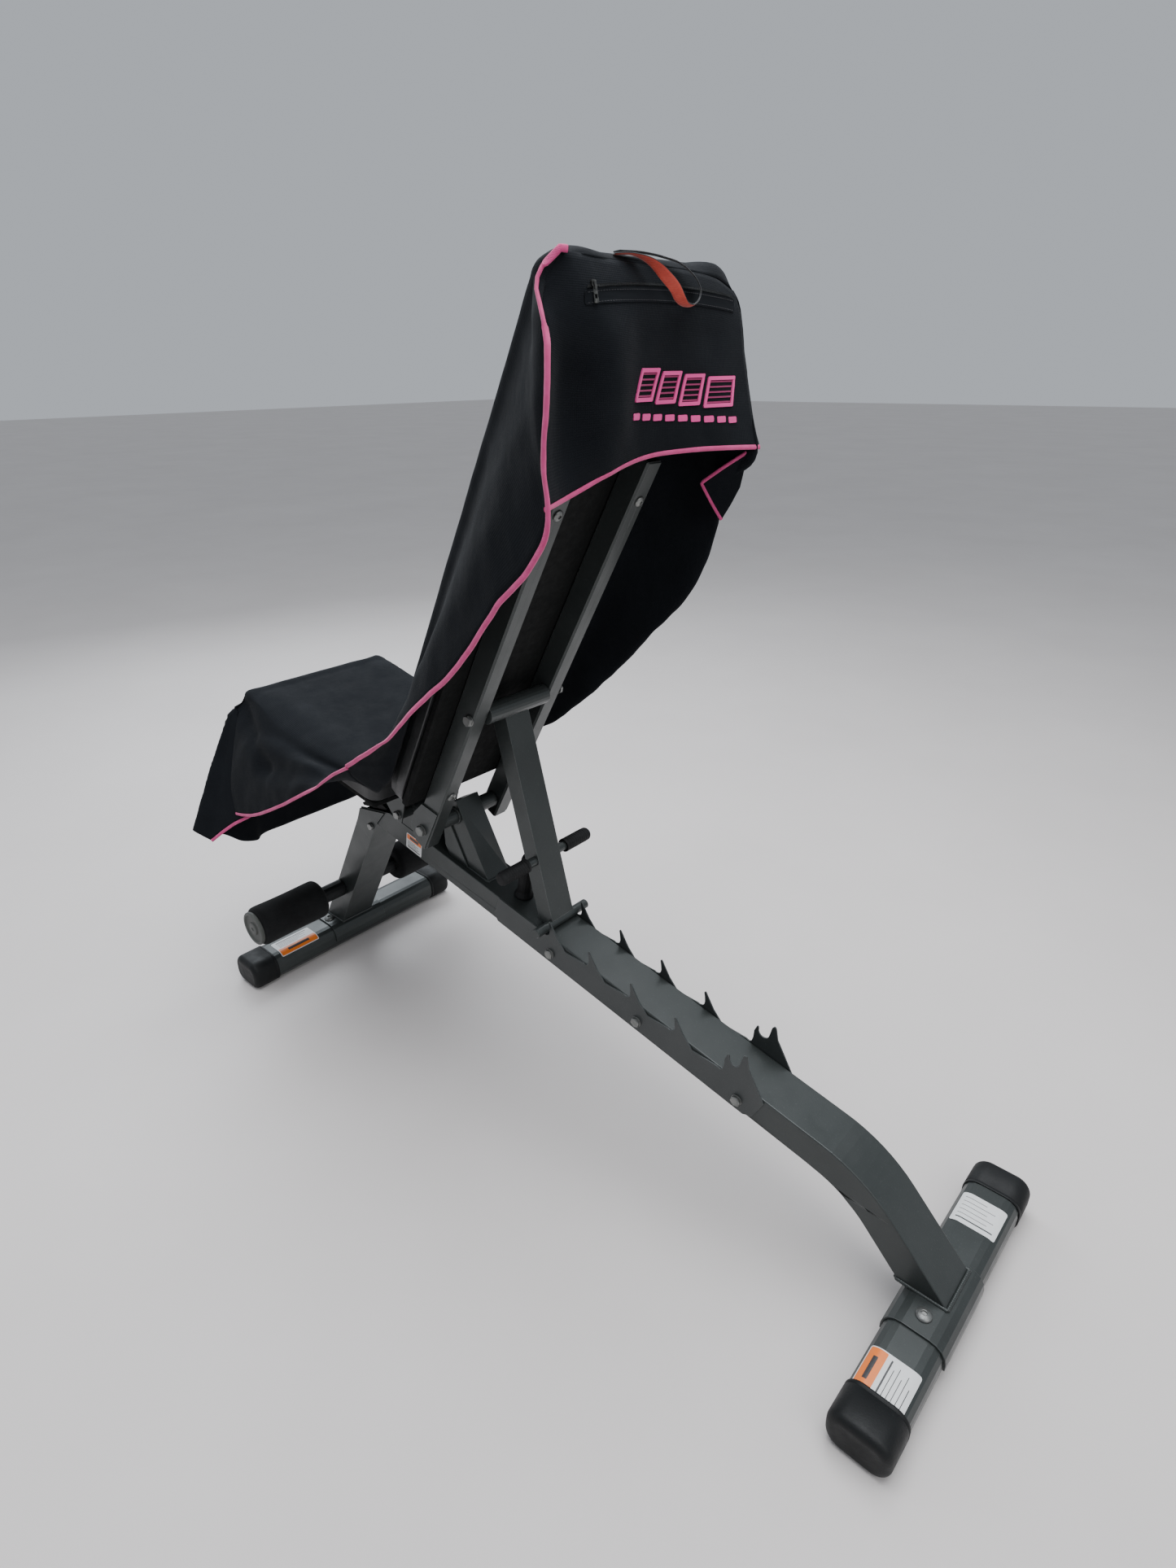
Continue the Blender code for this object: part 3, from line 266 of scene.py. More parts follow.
# ------------------------------------------------------------------ materials
class Finish:
    """A procedural material: noise between two tones, roughness that varies, and stacked bumps."""

    def __init__(self, name, dark, light, rough, metallic=0.0, tone_scale=9.0, uv=False):
        self.made = bpy.data.materials.new(name)
        self.made.use_nodes = True
        self.tree = self.made.node_tree
        self.shader = self.tree.nodes["Principled BSDF"]
        self.coords = self.node("ShaderNodeTexCoord").outputs["UV" if uv else "Object"]
        ramp = self.node("ShaderNodeValToRGB", {"Fac": self.noise(tone_scale, 6.0, 0.6)})
        for stop, place, tone in zip(ramp.color_ramp.elements, (0.3, 0.72), (dark, light)):
            stop.position = place
            stop.color = (*tone, 1.0)
        self.paint(ramp.outputs["Color"])
        smear = self.spread(self.noise(tone_scale * 3.1, 5.0, 0.65), 0.3, 0.7, *rough)
        self.fill(self.shader, {"Metallic": metallic, "Roughness": smear})
        self.last_bump = None

    def fill(self, node, sockets):
        """Sets constants on a node's sockets, and links what comes from other nodes."""
        for key, value in sockets.items():
            if isinstance(value, bpy.types.NodeSocket):
                self.tree.links.new(value, node.inputs[key])
            else:
                node.inputs[key].default_value = value
        return node

    def node(self, kind, sockets=None):
        return self.fill(self.tree.nodes.new(kind), sockets or {})

    def paint(self, colour):
        self.colour = colour
        self.fill(self.shader, {"Base Color": colour})

    def spread(self, value, low, high, to_low=0.0, to_high=1.0):
        """Maps the values from low to high onto another range."""
        sockets = {"Value": value, "From Min": low, "From Max": high, "To Min": to_low, "To Max": to_high}
        return self.node("ShaderNodeMapRange", sockets).outputs["Result"]

    def place(self, stretch=None, turn=0.0):
        if stretch is None and not turn:
            return self.coords
        sockets = {"Scale": stretch or (1, 1, 1), "Rotation": (0, 0, turn), "Vector": self.coords}
        return self.node("ShaderNodeMapping", sockets).outputs["Vector"]

    def noise(self, scale, detail=4.0, rough=0.55, stretch=None, distort=0.0):
        sockets = {"Scale": scale, "Detail": detail, "Roughness": rough, "Distortion": distort}
        return self.node("ShaderNodeTexNoise", {**sockets, "Vector": self.place(stretch)}).outputs["Fac"]

    def cells(self, scale, feature="F1"):
        made = self.node("ShaderNodeTexVoronoi")
        made.feature = feature
        return self.fill(made, {"Scale": scale, "Vector": self.coords}).outputs["Distance"]

    def waves(self, scale, turn=0.0, distort=0.0, axis="X"):
        made = self.node("ShaderNodeTexWave", {"Scale": scale, "Distortion": distort, "Detail": 1.0,
                                               "Vector": self.place(turn=turn)})
        made.wave_type = "BANDS"
        made.bands_direction = axis
        return made.outputs["Fac"]

    def math(self, kind, a, b):
        made = self.node("ShaderNodeMath", {0: a, 1: b})
        made.operation = kind
        return made.outputs[0]

    def bump(self, height, strength, distance):
        sockets = {"Strength": strength, "Distance": distance, "Height": height}
        if self.last_bump:
            sockets["Normal"] = self.last_bump
        self.last_bump = self.node("ShaderNodeBump", sockets).outputs["Normal"]
        self.fill(self.shader, {"Normal": self.last_bump})

    def tint(self, factor, colour, low, high):
        """Mixes a colour in where a factor passes from low to high."""
        mix = self.node("ShaderNodeMix")
        mix.data_type = "RGBA"
        self.fill(mix, {"Factor": self.spread(factor, low, high), "A": self.colour, "B": (*colour, 1.0)})
        self.paint(mix.outputs["Result"])

    def painted_edge_highlights(self, colour, radius=0.0016):
        """Painted edge highlights: edges tinted lighter where light would catch them, found where a rounded normal
        leaves the true one and broken up by noise.
        """
        soft = self.node("ShaderNodeBevel", {"Radius": radius})
        soft.samples = 4
        true = self.node("ShaderNodeNewGeometry")
        dot = self.node("ShaderNodeVectorMath", {0: soft.outputs["Normal"], 1: true.outputs["Normal"]})
        dot.operation = "DOT_PRODUCT"
        edge = self.math("SUBTRACT", 1.0, dot.outputs["Value"])
        self.tint(self.math("MULTIPLY", edge, self.noise(38.0, 5.0, 0.7)), colour, 0.03, 0.16)

    def gloss(self, sheen=0.0, sheen_rough=0.4, coat=0.0, coat_rough=0.2, specular=0.5):
        self.fill(self.shader, {"Sheen Weight": sheen, "Sheen Roughness": sheen_rough, "Coat Weight": coat,
                                "Coat Roughness": coat_rough, "Specular IOR Level": specular})
        return self.made


def paint_finish(name, dark, light):
    made = Finish(name, dark, light, (0.3, 0.44), 0.35, 7.0)
    # painted highlight: the paint's edges turn a lighter grey-green where light would catch them
    made.painted_edge_highlights((0.16, 0.17, 0.165))
    made.tint(made.noise(420.0, 2.0, 0.5), tuple(v * 1.35 for v in light), 0.62, 0.8)
    made.bump(made.noise(520.0, 2.0, 0.5), 0.16, 0.0006)
    made.bump(made.noise(46.0, 3.0, 0.5), 0.07, 0.002)
    return made.gloss(coat=0.14, coat_rough=0.2, specular=0.36)


PAINT = paint_finish("powder_coat", (0.034, 0.039, 0.038), (0.045, 0.051, 0.05))
LADDER = paint_finish("ladder_coat", (0.038, 0.043, 0.043), (0.051, 0.056, 0.056))


def zinc_finish(name, shade):
    def tone(*values):
        return tuple(v * shade for v in values)

    made = Finish(name, tone(0.16, 0.165, 0.16), tone(0.28, 0.285, 0.275), (0.32, 0.52), 0.88, 90.0)
    made.tint(made.noise(260.0, 4.0, 0.6), tone(0.2, 0.19, 0.17), 0.6, 0.78)
    made.bump(made.noise(900.0, 2.0, 0.6), 0.2, 0.0004)
    return made.made


def moulded_finish(name, dark, light, rough, grain):
    made = Finish(name, dark, light, rough, 0.0, 14.0)
    made.tint(made.noise(150.0, 6.0, 0.7), tuple(v * 2.0 + 0.004 for v in light), 0.64, 0.88)
    made.bump(made.cells(grain), 0.22, 0.0005)
    made.bump(made.noise(grain * 0.6, 3.0), 0.12, 0.0008)
    return made.gloss(specular=0.26)


def foam_finish():
    made = Finish("roller_foam", (0.0038, 0.004, 0.0043), (0.008, 0.0085, 0.009), (0.82, 0.96), 0.0, 20.0)
    made.bump(made.cells(620.0), 0.55, 0.0009)
    made.bump(made.noise(1500.0, 3.0, 0.7), 0.35, 0.0005)
    made.bump(made.noise(26.0, 4.0, 0.6), 0.25, 0.004)
    return made.gloss(sheen=0.03, sheen_rough=0.6, specular=0.18)


def vinyl_finish():
    made = Finish("pad_vinyl", (0.0075, 0.0082, 0.0088), (0.014, 0.0152, 0.016), (0.36, 0.54), 0.0, 12.0)
    made.bump(made.cells(640.0, "DISTANCE_TO_EDGE"), 0.42, 0.0007)
    made.bump(made.noise(85.0, 6.0, 0.7, distort=1.2), 0.16, 0.002)
    return made.gloss(coat=0.1, coat_rough=0.35)


def board_finish():
    made = Finish("backing_board", (0.0022, 0.0026, 0.0026), (0.0048, 0.0052, 0.005), (0.74, 0.94), 0.0, 24.0)
    made.tint(made.noise(90.0, 8.0, 0.8, (1, 1, 6)), (0.012, 0.0118, 0.011), 0.64, 0.88)
    made.bump(made.noise(420.0, 4.0, 0.7), 0.45, 0.0008)
    return made.gloss(specular=0.22)


def towel_finish(name, dark, light):
    made = Finish(name, dark, light, (0.78, 0.95), 0.0, 7.0, uv=True)
    warp, weft = made.waves(150.0, 0.0, 0.6), made.waves(150.0, 0.0, 0.6, "Y")
    knit = made.math("MULTIPLY", warp, weft)
    fuzz = made.noise(900.0, 4.0, 0.75)
    made.tint(fuzz, tuple(v * 1.7 + 0.002 for v in light), 0.56, 0.8)
    made.bump(knit, 0.5, 0.0007)
    made.bump(fuzz, 0.4, 0.0006)
    made.bump(made.noise(48.0, 5.0, 0.6), 0.28, 0.003)
    return made.gloss(sheen=0.035, sheen_rough=0.35, specular=0.1)


def woven_finish(name, dark, light, rib=260.0):
    made = Finish(name, dark, light, (0.55, 0.75), 0.0, 60.0, uv=True)
    made.bump(made.waves(rib, math.radians(38)), 0.55, 0.0005)
    made.bump(made.noise(1300.0, 3.0, 0.7), 0.3, 0.0003)
    return made.gloss(sheen=0.25, sheen_rough=0.4, specular=0.3)


def print_finish(name, colour):
    dark = tuple(v * 0.93 for v in colour)
    made = Finish(name, dark, colour, (0.34, 0.5), 0.0, 30.0)
    made.bump(made.noise(300.0, 3.0), 0.1, 0.0003)
    return made.gloss(coat=0.3, coat_rough=0.25)


ZINC = zinc_finish("zinc_plate", 1.0)
SLIDER = zinc_finish("slider_metal", 0.3)
PLASTIC = moulded_finish("black_moulding", (0.0036, 0.0043, 0.0047), (0.0066, 0.0076, 0.0081), (0.46, 0.62),
                         520.0)
RUBBER = moulded_finish("grip_rubber", (0.006, 0.006, 0.0063), (0.011, 0.011, 0.0115), (0.58, 0.76), 760.0)
GREY = moulded_finish("grey_moulding", (0.06, 0.063, 0.058), (0.088, 0.092, 0.085), (0.46, 0.62), 480.0)
FOAM = foam_finish()
VINYL = vinyl_finish()
BOARD = board_finish()
TOWEL = towel_finish("towel_microfibre", (0.005, 0.0061, 0.0079), (0.008, 0.0094, 0.0118))
PIPING = woven_finish("pink_binding", (0.5, 0.048, 0.17), (0.64, 0.075, 0.25))
STRAP = woven_finish("strap_webbing", (0.012, 0.012, 0.014), (0.026, 0.026, 0.03), 180.0)
LINING = woven_finish("strap_lining", (0.42, 0.045, 0.03), (0.58, 0.08, 0.05), 180.0)
THREAD = woven_finish("mark_thread", (0.62, 0.045, 0.21), (0.8, 0.08, 0.34), 420.0)
THREAD_DARK = woven_finish("mark_hatching", (0.24, 0.02, 0.085), (0.34, 0.032, 0.13), 420.0)
WHITE = print_finish("label_white", (0.74, 0.75, 0.75))
ORANGE = print_finish("label_orange", (0.86, 0.19, 0.015))
INK = print_finish("label_ink", (0.03, 0.03, 0.032))


def mesh_object(name, bm, *looks):
    mesh = bpy.data.meshes.new(name)
    bm.to_mesh(mesh)
    bm.free()
    for look in looks:
        mesh.materials.append(look)
    return add_object(name, mesh)


def floor():
    bm = bmesh.new()
    bmesh.ops.create_grid(bm, x_segments=2, y_segments=2, size=30.0)
    look = Finish("floor_pale", (0.63, 0.595, 0.58), (0.68, 0.645, 0.63), (0.5, 0.62), 0.0, 1.2)
    look.bump(look.noise(40.0, 3.0), 0.05, 0.002)
    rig.stage(mesh_object("studio_floor", bm, look.made))


floor()


# ------------------------------------------------------------------ mesh helpers
def piece(name, bm, *looks, smooth=40.0):
    bmesh.ops.recalc_face_normals(bm, faces=bm.faces)
    made = mesh_object(name, bm, *looks)
    made.data.shade_smooth()
    made.data.set_sharp_from_angle(angle=math.radians(smooth))
    return made


def settle(made, node, slot, body):
    """Puts a visible piece in a node's place, with its slot, on its body."""
    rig.replaces(made, node)
    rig.slot(made, slot)
    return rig.ride(made, body)


def span(node, way):
    """A part across the bench: the middle of its inner end, its length, and its size in x and z."""
    low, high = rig.box(node)
    inner, outer = (low.y, high.y) if way > 0 else (high.y, low.y)
    at = Vector(((low.x + high.x) / 2, inner, (low.z + high.z) / 2))
    return at, abs(outer - inner), high.x - low.x, high.z - low.z


def circle(count):
    """Cosine and sine of evenly spaced angles."""
    return [(math.cos(a), math.sin(a)) for a in (2 * math.pi * i / count for i in range(count))]


def quarter(steps, first=1, last=None):
    """Sine and cosine over a quarter turn."""
    turns = (math.pi / 2 * i / steps for i in range(first, (last or steps) + 1))
    return [(math.sin(a), math.cos(a)) for a in turns]


def across_axis(axis):
    """An axis of length 1, and two directions across it."""
    axis = Vector(axis).normalized()
    side = axis.orthogonal().normalized()
    return axis, side, axis.cross(side)


def ring(bm, centre, side, other, radius, count):
    return [bm.verts.new(centre + (side * c + other * s) * radius) for c, s in circle(count)]


def bridge(bm, rings):
    """Faces between closed rings of vertices. A ring of one vertex closes an end."""
    faces = []
    for a, b in zip(rings, rings[1:]):
        count = max(len(a), len(b))
        for i in range(count):
            j = (i + 1) % count
            corners = list(dict.fromkeys((a[i % len(a)], a[j % len(a)], b[j % len(b)], b[i % len(b)])))
            if len(corners) > 2:
                faces.append(bm.faces.new(corners))
    return faces


def lathe(bm, profile, at, axis, sides=40):
    """A turned shape. Profile points are (distance along the axis, radius); radius 0 closes an end."""
    axis, side, other = across_axis(axis)
    bridge(bm, [ring(bm, Vector(at) + axis * along, side, other, radius, sides if radius else 1)
                for along, radius in profile])


def hexagon(bm, at, axis, across, height):
    """A hexagon head whose rim is chamfered on both ends."""
    corner = across / math.sqrt(3)
    axis, side, other = across_axis(axis)
    rows = []
    for along, reach, turned in ((0.0, 0.0, True), (0.0, across * 0.475, True), (height * 0.1, corner, False),
                                 (height * 0.8, corner, False), (height, across * 0.44, True),
                                 (height * 0.97, 0.0, True)):
        centre = Vector(at) + axis * along
        if turned:
            rows.append(ring(bm, centre, side, other, reach, 36 if reach else 1))
            continue
        row = []
        for i, (c, s) in enumerate(circle(36)):
            a = 2 * math.pi * i / 36
            flat = (across / 2) / math.cos((a + math.pi / 6) % (math.pi / 3) - math.pi / 6)
            row.append(bm.verts.new(centre + (side * c + other * s) * min(flat, reach * 0.985)))
        rows.append(row)
    bridge(bm, rows)


def through_bolt(node, body, across, high, shank, washer):
    """A hexagon bolt across the bench with washers, nut and thread tip, in place of its plain solid."""
    low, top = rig.box(node)
    at = (low + top) / 2
    thick = 0.0014
    bm = bmesh.new()
    for way, face in ((-1, low.y), (1, top.y)):
        proud = high + (0.003 if way > 0 else 0.0)
        base = Vector((at.x, face - way * proud, at.z))
        out = (0, way, 0)
        disc = [(0.0, 0.0), (0.0, washer), (0.0011, washer), (thick, washer - 0.0005), (thick, 0.0)]
        lathe(bm, disc, base, out)
        hexagon(bm, base + Vector(out) * thick, out, across, high - thick)
        if way > 0:
            profile = [(high - 0.001, 0.0), (high - 0.001, shank * 0.93)]
            for turn in range(3):
                start = high + turn * 0.0009
                profile += [(start, shank * 0.95), (start + 0.00045, shank * 0.86)]
            profile += [(high + 0.0029, shank * 0.7), (high + 0.003, 0.0)]
        else:
            profile = [(high - 0.0004, 0.0), (high - 0.0004, across * 0.3), (high - 0.0001, across * 0.27),
                       (high - 0.0001, 0.0)]
        lathe(bm, profile, base, out, 24)
    return settle(piece(node + "_detail", bm, ZINC, smooth=25.0), node, "zinc_bolt", body)


def dome_screw(node, body, axis, radius, high):
    """A domed screw head with a shallow round socket."""
    way = Vector(axis).normalized()
    verts = [v.co for v in nodes[node].data.vertices]
    tip = max(v.dot(way) for v in verts)
    crown = [v for v in verts if v.dot(way) > tip - 0.0004]
    base = sum(crown, Vector()) / len(crown) - way * high
    socket = radius * 0.34
    dome = [(0.0002, 0.0), (0.0002, radius), (high * 0.16, radius)]
    dome += [(high * (0.16 + 0.84 * s), radius * c) for s, c in quarter(8, last=7)]
    dome = [d for d in dome if d[1] > socket * 1.15 or d[0] < high * 0.2]
    dome += [(high * 0.985, socket * 1.15), (high * 0.93, socket), (high * 0.55, socket), (high * 0.5, 0.0)]
    bm = bmesh.new()
    lathe(bm, dome, base, way, 36)
    return settle(piece(node + "_detail", bm, ZINC, smooth=30.0), node, "zinc_bolt", body)


# ------------------------------------------------------------------ metal frame: finishes and rolled edges
def dress(names, look, width=0.0, segments=3, angle=35.0):
    for name in names:
        obj = nodes[name]
        obj.data.materials.clear()
        obj.data.materials.append(look)
        if width:
            weld = obj.modifiers.new("weld", "WELD")
            weld.merge_threshold = 0.00002
            edge = obj.modifiers.new("rolled_edge", "BEVEL")
            edge.width = width
            edge.segments = segments
            edge.limit_method = "ANGLE"
            edge.angle_limit = math.radians(angle)
            edge.use_clamp_overlap = True
            edge.harden_normals = True


dress(("main_beam", "front_leg", "strut_tube"), PAINT, 0.0022, 3, 50.0)
dress(("rail_left", "rail_right", "hinge_post"), PAINT, 0.0008, 2, 50.0)
dress(("front_foot_tube", "rear_foot_tube", "front_saddle", "rear_saddle"), PAINT, 0.0006, 2, 50.0)
dress(("front_gusset_left", "front_gusset_right", "post_gusset_left", "post_gusset_right", "seat_bracket",
       "seat_frame", "seat_sector"), PAINT, 0.0005, 2)
dress(("roller_bar", "strut_sleeve", "strut_pin", "handle_bar"), PAINT, 0.0004, 2, 50.0)
dress(("ladder_plate_left", "ladder_plate_right"), LADDER, 0.0005, 2, 50.0)
dress(("spine_nose_cap", "rest_stub"), RUBBER, 0.0012, 3, 50.0)
dress(("roller_collar_left", "roller_collar_right"), PLASTIC, 0.0008, 2, 50.0)
dress(("back_board", "seat_board"), BOARD, 0.0012, 2)
dress(("roller_cap_left", "roller_cap_right"), GREY)

through_bolt("front_gusset_bolt", "frame", 0.0135, 0.005, 0.005, 0.0078)
for place in ("front", "middle", "rear"):
    through_bolt(f"ladder_bolt_{place}", "frame", 0.015, 0.006, 0.005, 0.0087)
through_bolt("hinge_bolt", "frame", 0.018, 0.0075, 0.006, 0.0104)
through_bolt("seat_hinge_bolt", "frame", 0.015, 0.006, 0.005, 0.0087)
through_bolt("strut_bolt", "backrest", 0.0162, 0.0065, 0.005, 0.0094)
for place in ("rear_saddle_bolt_left", "front_saddle_bolt_left", "front_saddle_bolt_right"):
    dome_screw(place, "frame", (0, 0, 1), 0.0109, 0.0058)
for side in ("left", "right"):
    for level in ("lower", "upper"):
        dome_screw(f"pad_bolt_{level}_{side}", "backrest", (math.sin(RAIL_SLOPE), 0, -math.cos(RAIL_SLOPE)),
                   0.0078, 0.0045)


BEAD_STEP, RIPPLE = 0.0009, 0.0034         # a bead's mesh step, and the length of its ripples


def weld(name, points, radius):
    """A weld bead: overlapping ripples along a line."""
    path = [Vector(p) for p in points]
    lengths = [0.0]
    for a, b in zip(path, path[1:]):
        lengths.append(lengths[-1] + (b - a).length)
    count = max(6, int(lengths[-1] / BEAD_STEP))
    bm = bmesh.new()
    rings = []
    for k in range(count + 1):
        at = lengths[-1] * k / count
        i = max(j for j in range(len(path) - 1) if lengths[j] <= at + 1e-9)
        share = (at - lengths[i]) / max(1e-9, lengths[i + 1] - lengths[i])
        centre = path[i].lerp(path[i + 1], share)
        _, side, other = across_axis(path[i + 1] - path[i])
        ripple = 0.84 + 0.16 * abs(math.sin(at / RIPPLE * math.pi)) + 0.12 * noise.noise(centre * 120)
        taper = min(1.0, 0.45 + at / 0.004, 0.45 + (lengths[-1] - at) / 0.004)
        rings.append(ring(bm, centre, side, other, radius * ripple * taper, 10))
    bridge(bm, rings)
    bm.faces.new(rings[0])
    bm.faces.new(rings[-1][::-1])
    made = piece(name, bm, PAINT, smooth=60.0)
    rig.slot(made, "frame_paint")
    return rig.ride(made, "frame")


def box_weld(name, a, b, y, radius):
    """A bead round a rectangular foot: from a to b in x and z, at both sides of y."""
    corners = ((a, -y), (b, -y), (b, y), (a, y), (a, -y))
    weld(name, [(end[0], at, end[1]) for end, at in corners], radius)


def ring_weld(name, at, y, radius, bead):
    turns = [*circle(28), (1.0, 0.0)]
    weld(name, [(at[0] + radius * c, y, at[1] + radius * s) for c, s in turns], bead)


SPINE_SLOPE = math.radians(12.0)
SPINE_HALF, SPINE_WELD, POST_WELD = 0.0381, 0.0385, 0.0258      # half widths of the spine, and of the beads


def spine_top(x):
    return 0.2475 + (0.38 - x) * math.tan(SPINE_SLOPE)


def foot_weld(name, node):
    """A bead where a tube's lower end meets its saddle, from the solid itself."""
    verts = [v.co for v in nodes[node].data.vertices]
    low = min(v.z for v in verts)
    xs = [v.x for v in verts if v.z < low + 0.0005]
    box_weld(name, (min(xs) - 0.001, low), (max(xs) + 0.001, low), SPINE_WELD, 0.003)


foot_weld("tail_weld", "main_beam")
foot_weld("leg_weld", "front_leg")
post_xs = [v.co.x for v in nodes["hinge_post"].data.vertices if v.co.z < spine_top(v.co.x) + 0.0012]
post_ends = [(x, spine_top(x) + 0.0005) for x in (min(post_xs), max(post_xs))]
box_weld("post_weld", *post_ends, POST_WELD, 0.0028)
for side, way in (("left", -1), ("right", 1)):
    ring_weld(f"sleeve_weld_{side}", (HINGE.x, HINGE.z), way * 0.0262, 0.015, 0.0024)


# ------------------------------------------------------------------ end caps of the feet
def rounded_section(cx, cz, width, height, radius, steps=9):
    loop = []
    for sx, sz, start in ((1, 1, 0), (-1, 1, 90), (-1, -1, 180), (1, -1, 270)):
        for i in range(steps + 1):
            a = math.radians(start + 90 * i / steps)
            loop.append((cx + sx * (width / 2 - radius) + radius * math.cos(a),
                         cz + sz * (height / 2 - radius) + radius * math.sin(a)))
    return loop


def foot_cap(node, way):
    """A moulded cap: a lip over the tube, a straight skirt with a shallow groove, and a domed end."""
    at, length, wide, tall = span(node, way)
    round_off = 0.0115

    def loop(along, grow, radius):
        outline = rounded_section(at.x, at.z, wide + 2 * grow, tall + 2 * grow, radius)
        return [bm.verts.new((x, at.y + way * along, z)) for x, z in outline]

    steps = [(0.0, -0.0026), (0.0, -0.0006), (0.0009, 0.0), (0.0042, 0.0), (0.0048, -0.0007),
             (0.006, -0.0007), (0.0066, 0.0), (length - round_off, 0.0)]
    steps += [(length - round_off + round_off * s, -round_off * (1 - c)) for s, c in quarter(8)]
    steps += [(length - 0.0004, -round_off - 0.003), (length - 0.0004, -round_off - 0.01)]
    bm = bmesh.new()
    rings = [loop(along, grow, max(0.003, 0.024 + grow)) for along, grow in steps]
    bridge(bm, rings)
    bm.faces.new(rings[-1])
    plug = loop(0.0007, -0.005, 0.018)
    bridge(bm, [plug, rings[0]])
    bm.faces.new(plug)
    return settle(piece(node + "_detail", bm, PLASTIC, smooth=50.0), node, "black_plastic", "frame")


for base in ("rear", "front"):
    foot_cap(f"{base}_foot_cap_left", -1)
    foot_cap(f"{base}_foot_cap_right", 1)


# ------------------------------------------------------------------ grips, knob, rollers
def grip(node, way):
    """A rubber grip with a flange, pressed rings and a rounded tip."""
    at, length, wide, _ = span(node, way)
    full = wide / 2
    profile = [(0.0, 0.0084), (0.0, full * 0.98), (0.0012, full), (0.0045, full), (0.0055, full * 0.9)]
    rings = 9
    step = (length - 0.017) / rings
    for i in range(rings):
        profile += [(0.0065 + step * (i + share), full * swell)
                    for share, swell in ((0.0, 0.93), (0.25, 0.985), (0.6, 0.985), (0.85, 0.93))]
    profile += [(length - 0.0095, full * 0.96)]
    profile += [(length - 0.0075 + 0.0075 * s, full * (0.98 - 0.42 * (1 - c))) for s, c in quarter(6)]
    profile.append((length - 0.0002, 0.0))
    bm = bmesh.new()
    lathe(bm, profile, at, (0, way, 0), 36)
    return settle(piece(node + "_detail", bm, RUBBER, smooth=50.0), node, "black_rubber", "strut")


grip("grip_left", -1)
grip("grip_right", 1)


def roller_foam(node, body, way):
    """Foam sleeve with pressed-in ends and a slightly uneven skin."""
    centre, length, wide, _ = span(node, way)
    full, edge, bore = wide / 2, 0.01, 0.0135
    profile = [(0.0035, bore), (0.0018, 0.018), (0.0003, 0.027)]
    profile += [(edge - edge * c, full - edge + 0.0097 * s) for s, c in quarter(6, 0)]
    for share in (i / 12 for i in range(1, 12)):
        waist = 0.0003 + 0.0009 * math.sin(math.pi * share) ** 2
        profile.append((edge + (length - 2 * edge) * share, full - waist))
    profile += [(length - edge + edge * s, full - edge + 0.0097 * c) for s, c in quarter(6, 0)]
    profile += [(length - 0.0003, 0.027), (length - 0.0018, 0.018), (length - 0.0035, bore)]
    bm = bmesh.new()
    lathe(bm, profile + [profile[0]], centre, (0, way, 0), 64)
    bmesh.ops.remove_doubles(bm, verts=bm.verts, dist=1e-6)
    for v in bm.verts:
        axis = Vector((centre.x, v.co.y, centre.z))
        out = v.co - axis
        if out.length > 0.03:
            v.co = axis + out * (1.0 - 0.012 * (0.5 + 0.5 * noise.noise(v.co * 45.0)))
    made = settle(piece(node + "_soft", bm, FOAM, smooth=60.0), node, "black_foam", body)
    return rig.padded(made, fill=0.9)


def roller_end(node, body, way):
    """A moulded end cap with a raised rim, a dished face and a hub."""
    at, thick, wide, _ = span(node, way)
    shares = ((0.0, 0.0), (0.0, 0.97), (0.25, 1.0), (0.7, 1.0), (0.93, 0.965), (1.0, 0.9), (0.98, 0.84),
              (0.62, 0.78), (0.55, 0.5), (0.6, 0.4), (0.92, 0.36), (0.97, 0.3), (0.97, 0.12), (0.8, 0.08),
              (0.8, 0.0))
    bm = bmesh.new()
    lathe(bm, [(thick * a, wide / 2 * b) for a, b in shares], at, (0, way, 0), 56)
    return settle(piece(node + "_detail", bm, GREY, smooth=35.0), node, "grey_plastic", body)


for side, way in (("left", -1), ("right", 1)):
    roller_foam(f"foam_roller_{side}", f"roller_{side}", way)
    roller_end(f"roller_cap_{side}", f"roller_{side}", way)


def clamp_knob():
    """A five-lobed knob with a collar, threaded stud and a rounded crown."""
    at = Vector((-0.41485, 0.0, 0.39104))
    bm = bmesh.new()
    rings = []
    for along, grow in ((0.0492, -0.01), (0.0492, -0.002), (0.0502, 0.0), (0.06, 0.0), (0.0625, -0.0008),
                        (0.0641, -0.0025), (0.0648, -0.005), (0.065, -0.01), (0.064, -0.0125)):
        row = []
        for k, (c, s) in enumerate(circle(80)):
            radius = 0.0193 + 0.0026 * math.cos(5 * 2 * math.pi * k / 80) + grow
            row.append(bm.verts.new((at.x + radius * c, along, at.z + radius * s)))
        rings.append(row)
    bridge(bm, rings)
    bm.faces.new(rings[0])
    bm.faces.new(rings[-1])
    collar = [(0.0458, 0.0), (0.0458, 0.0092), (0.049, 0.0095), (0.05, 0.0095), (0.05, 0.0)]
    stud = [(0.0202, 0.0), (0.0205, 0.0042), (0.0215, 0.0049), (0.0478, 0.0049), (0.0478, 0.0)]
    lathe(bm, collar, at, (0, 1, 0), 32)
    lathe(bm, stud, at, (0, 1, 0), 24)
    return settle(piece("clamp_knob_detail", bm, PLASTIC), "clamp_knob", "black_plastic", "clamp")


clamp_knob()


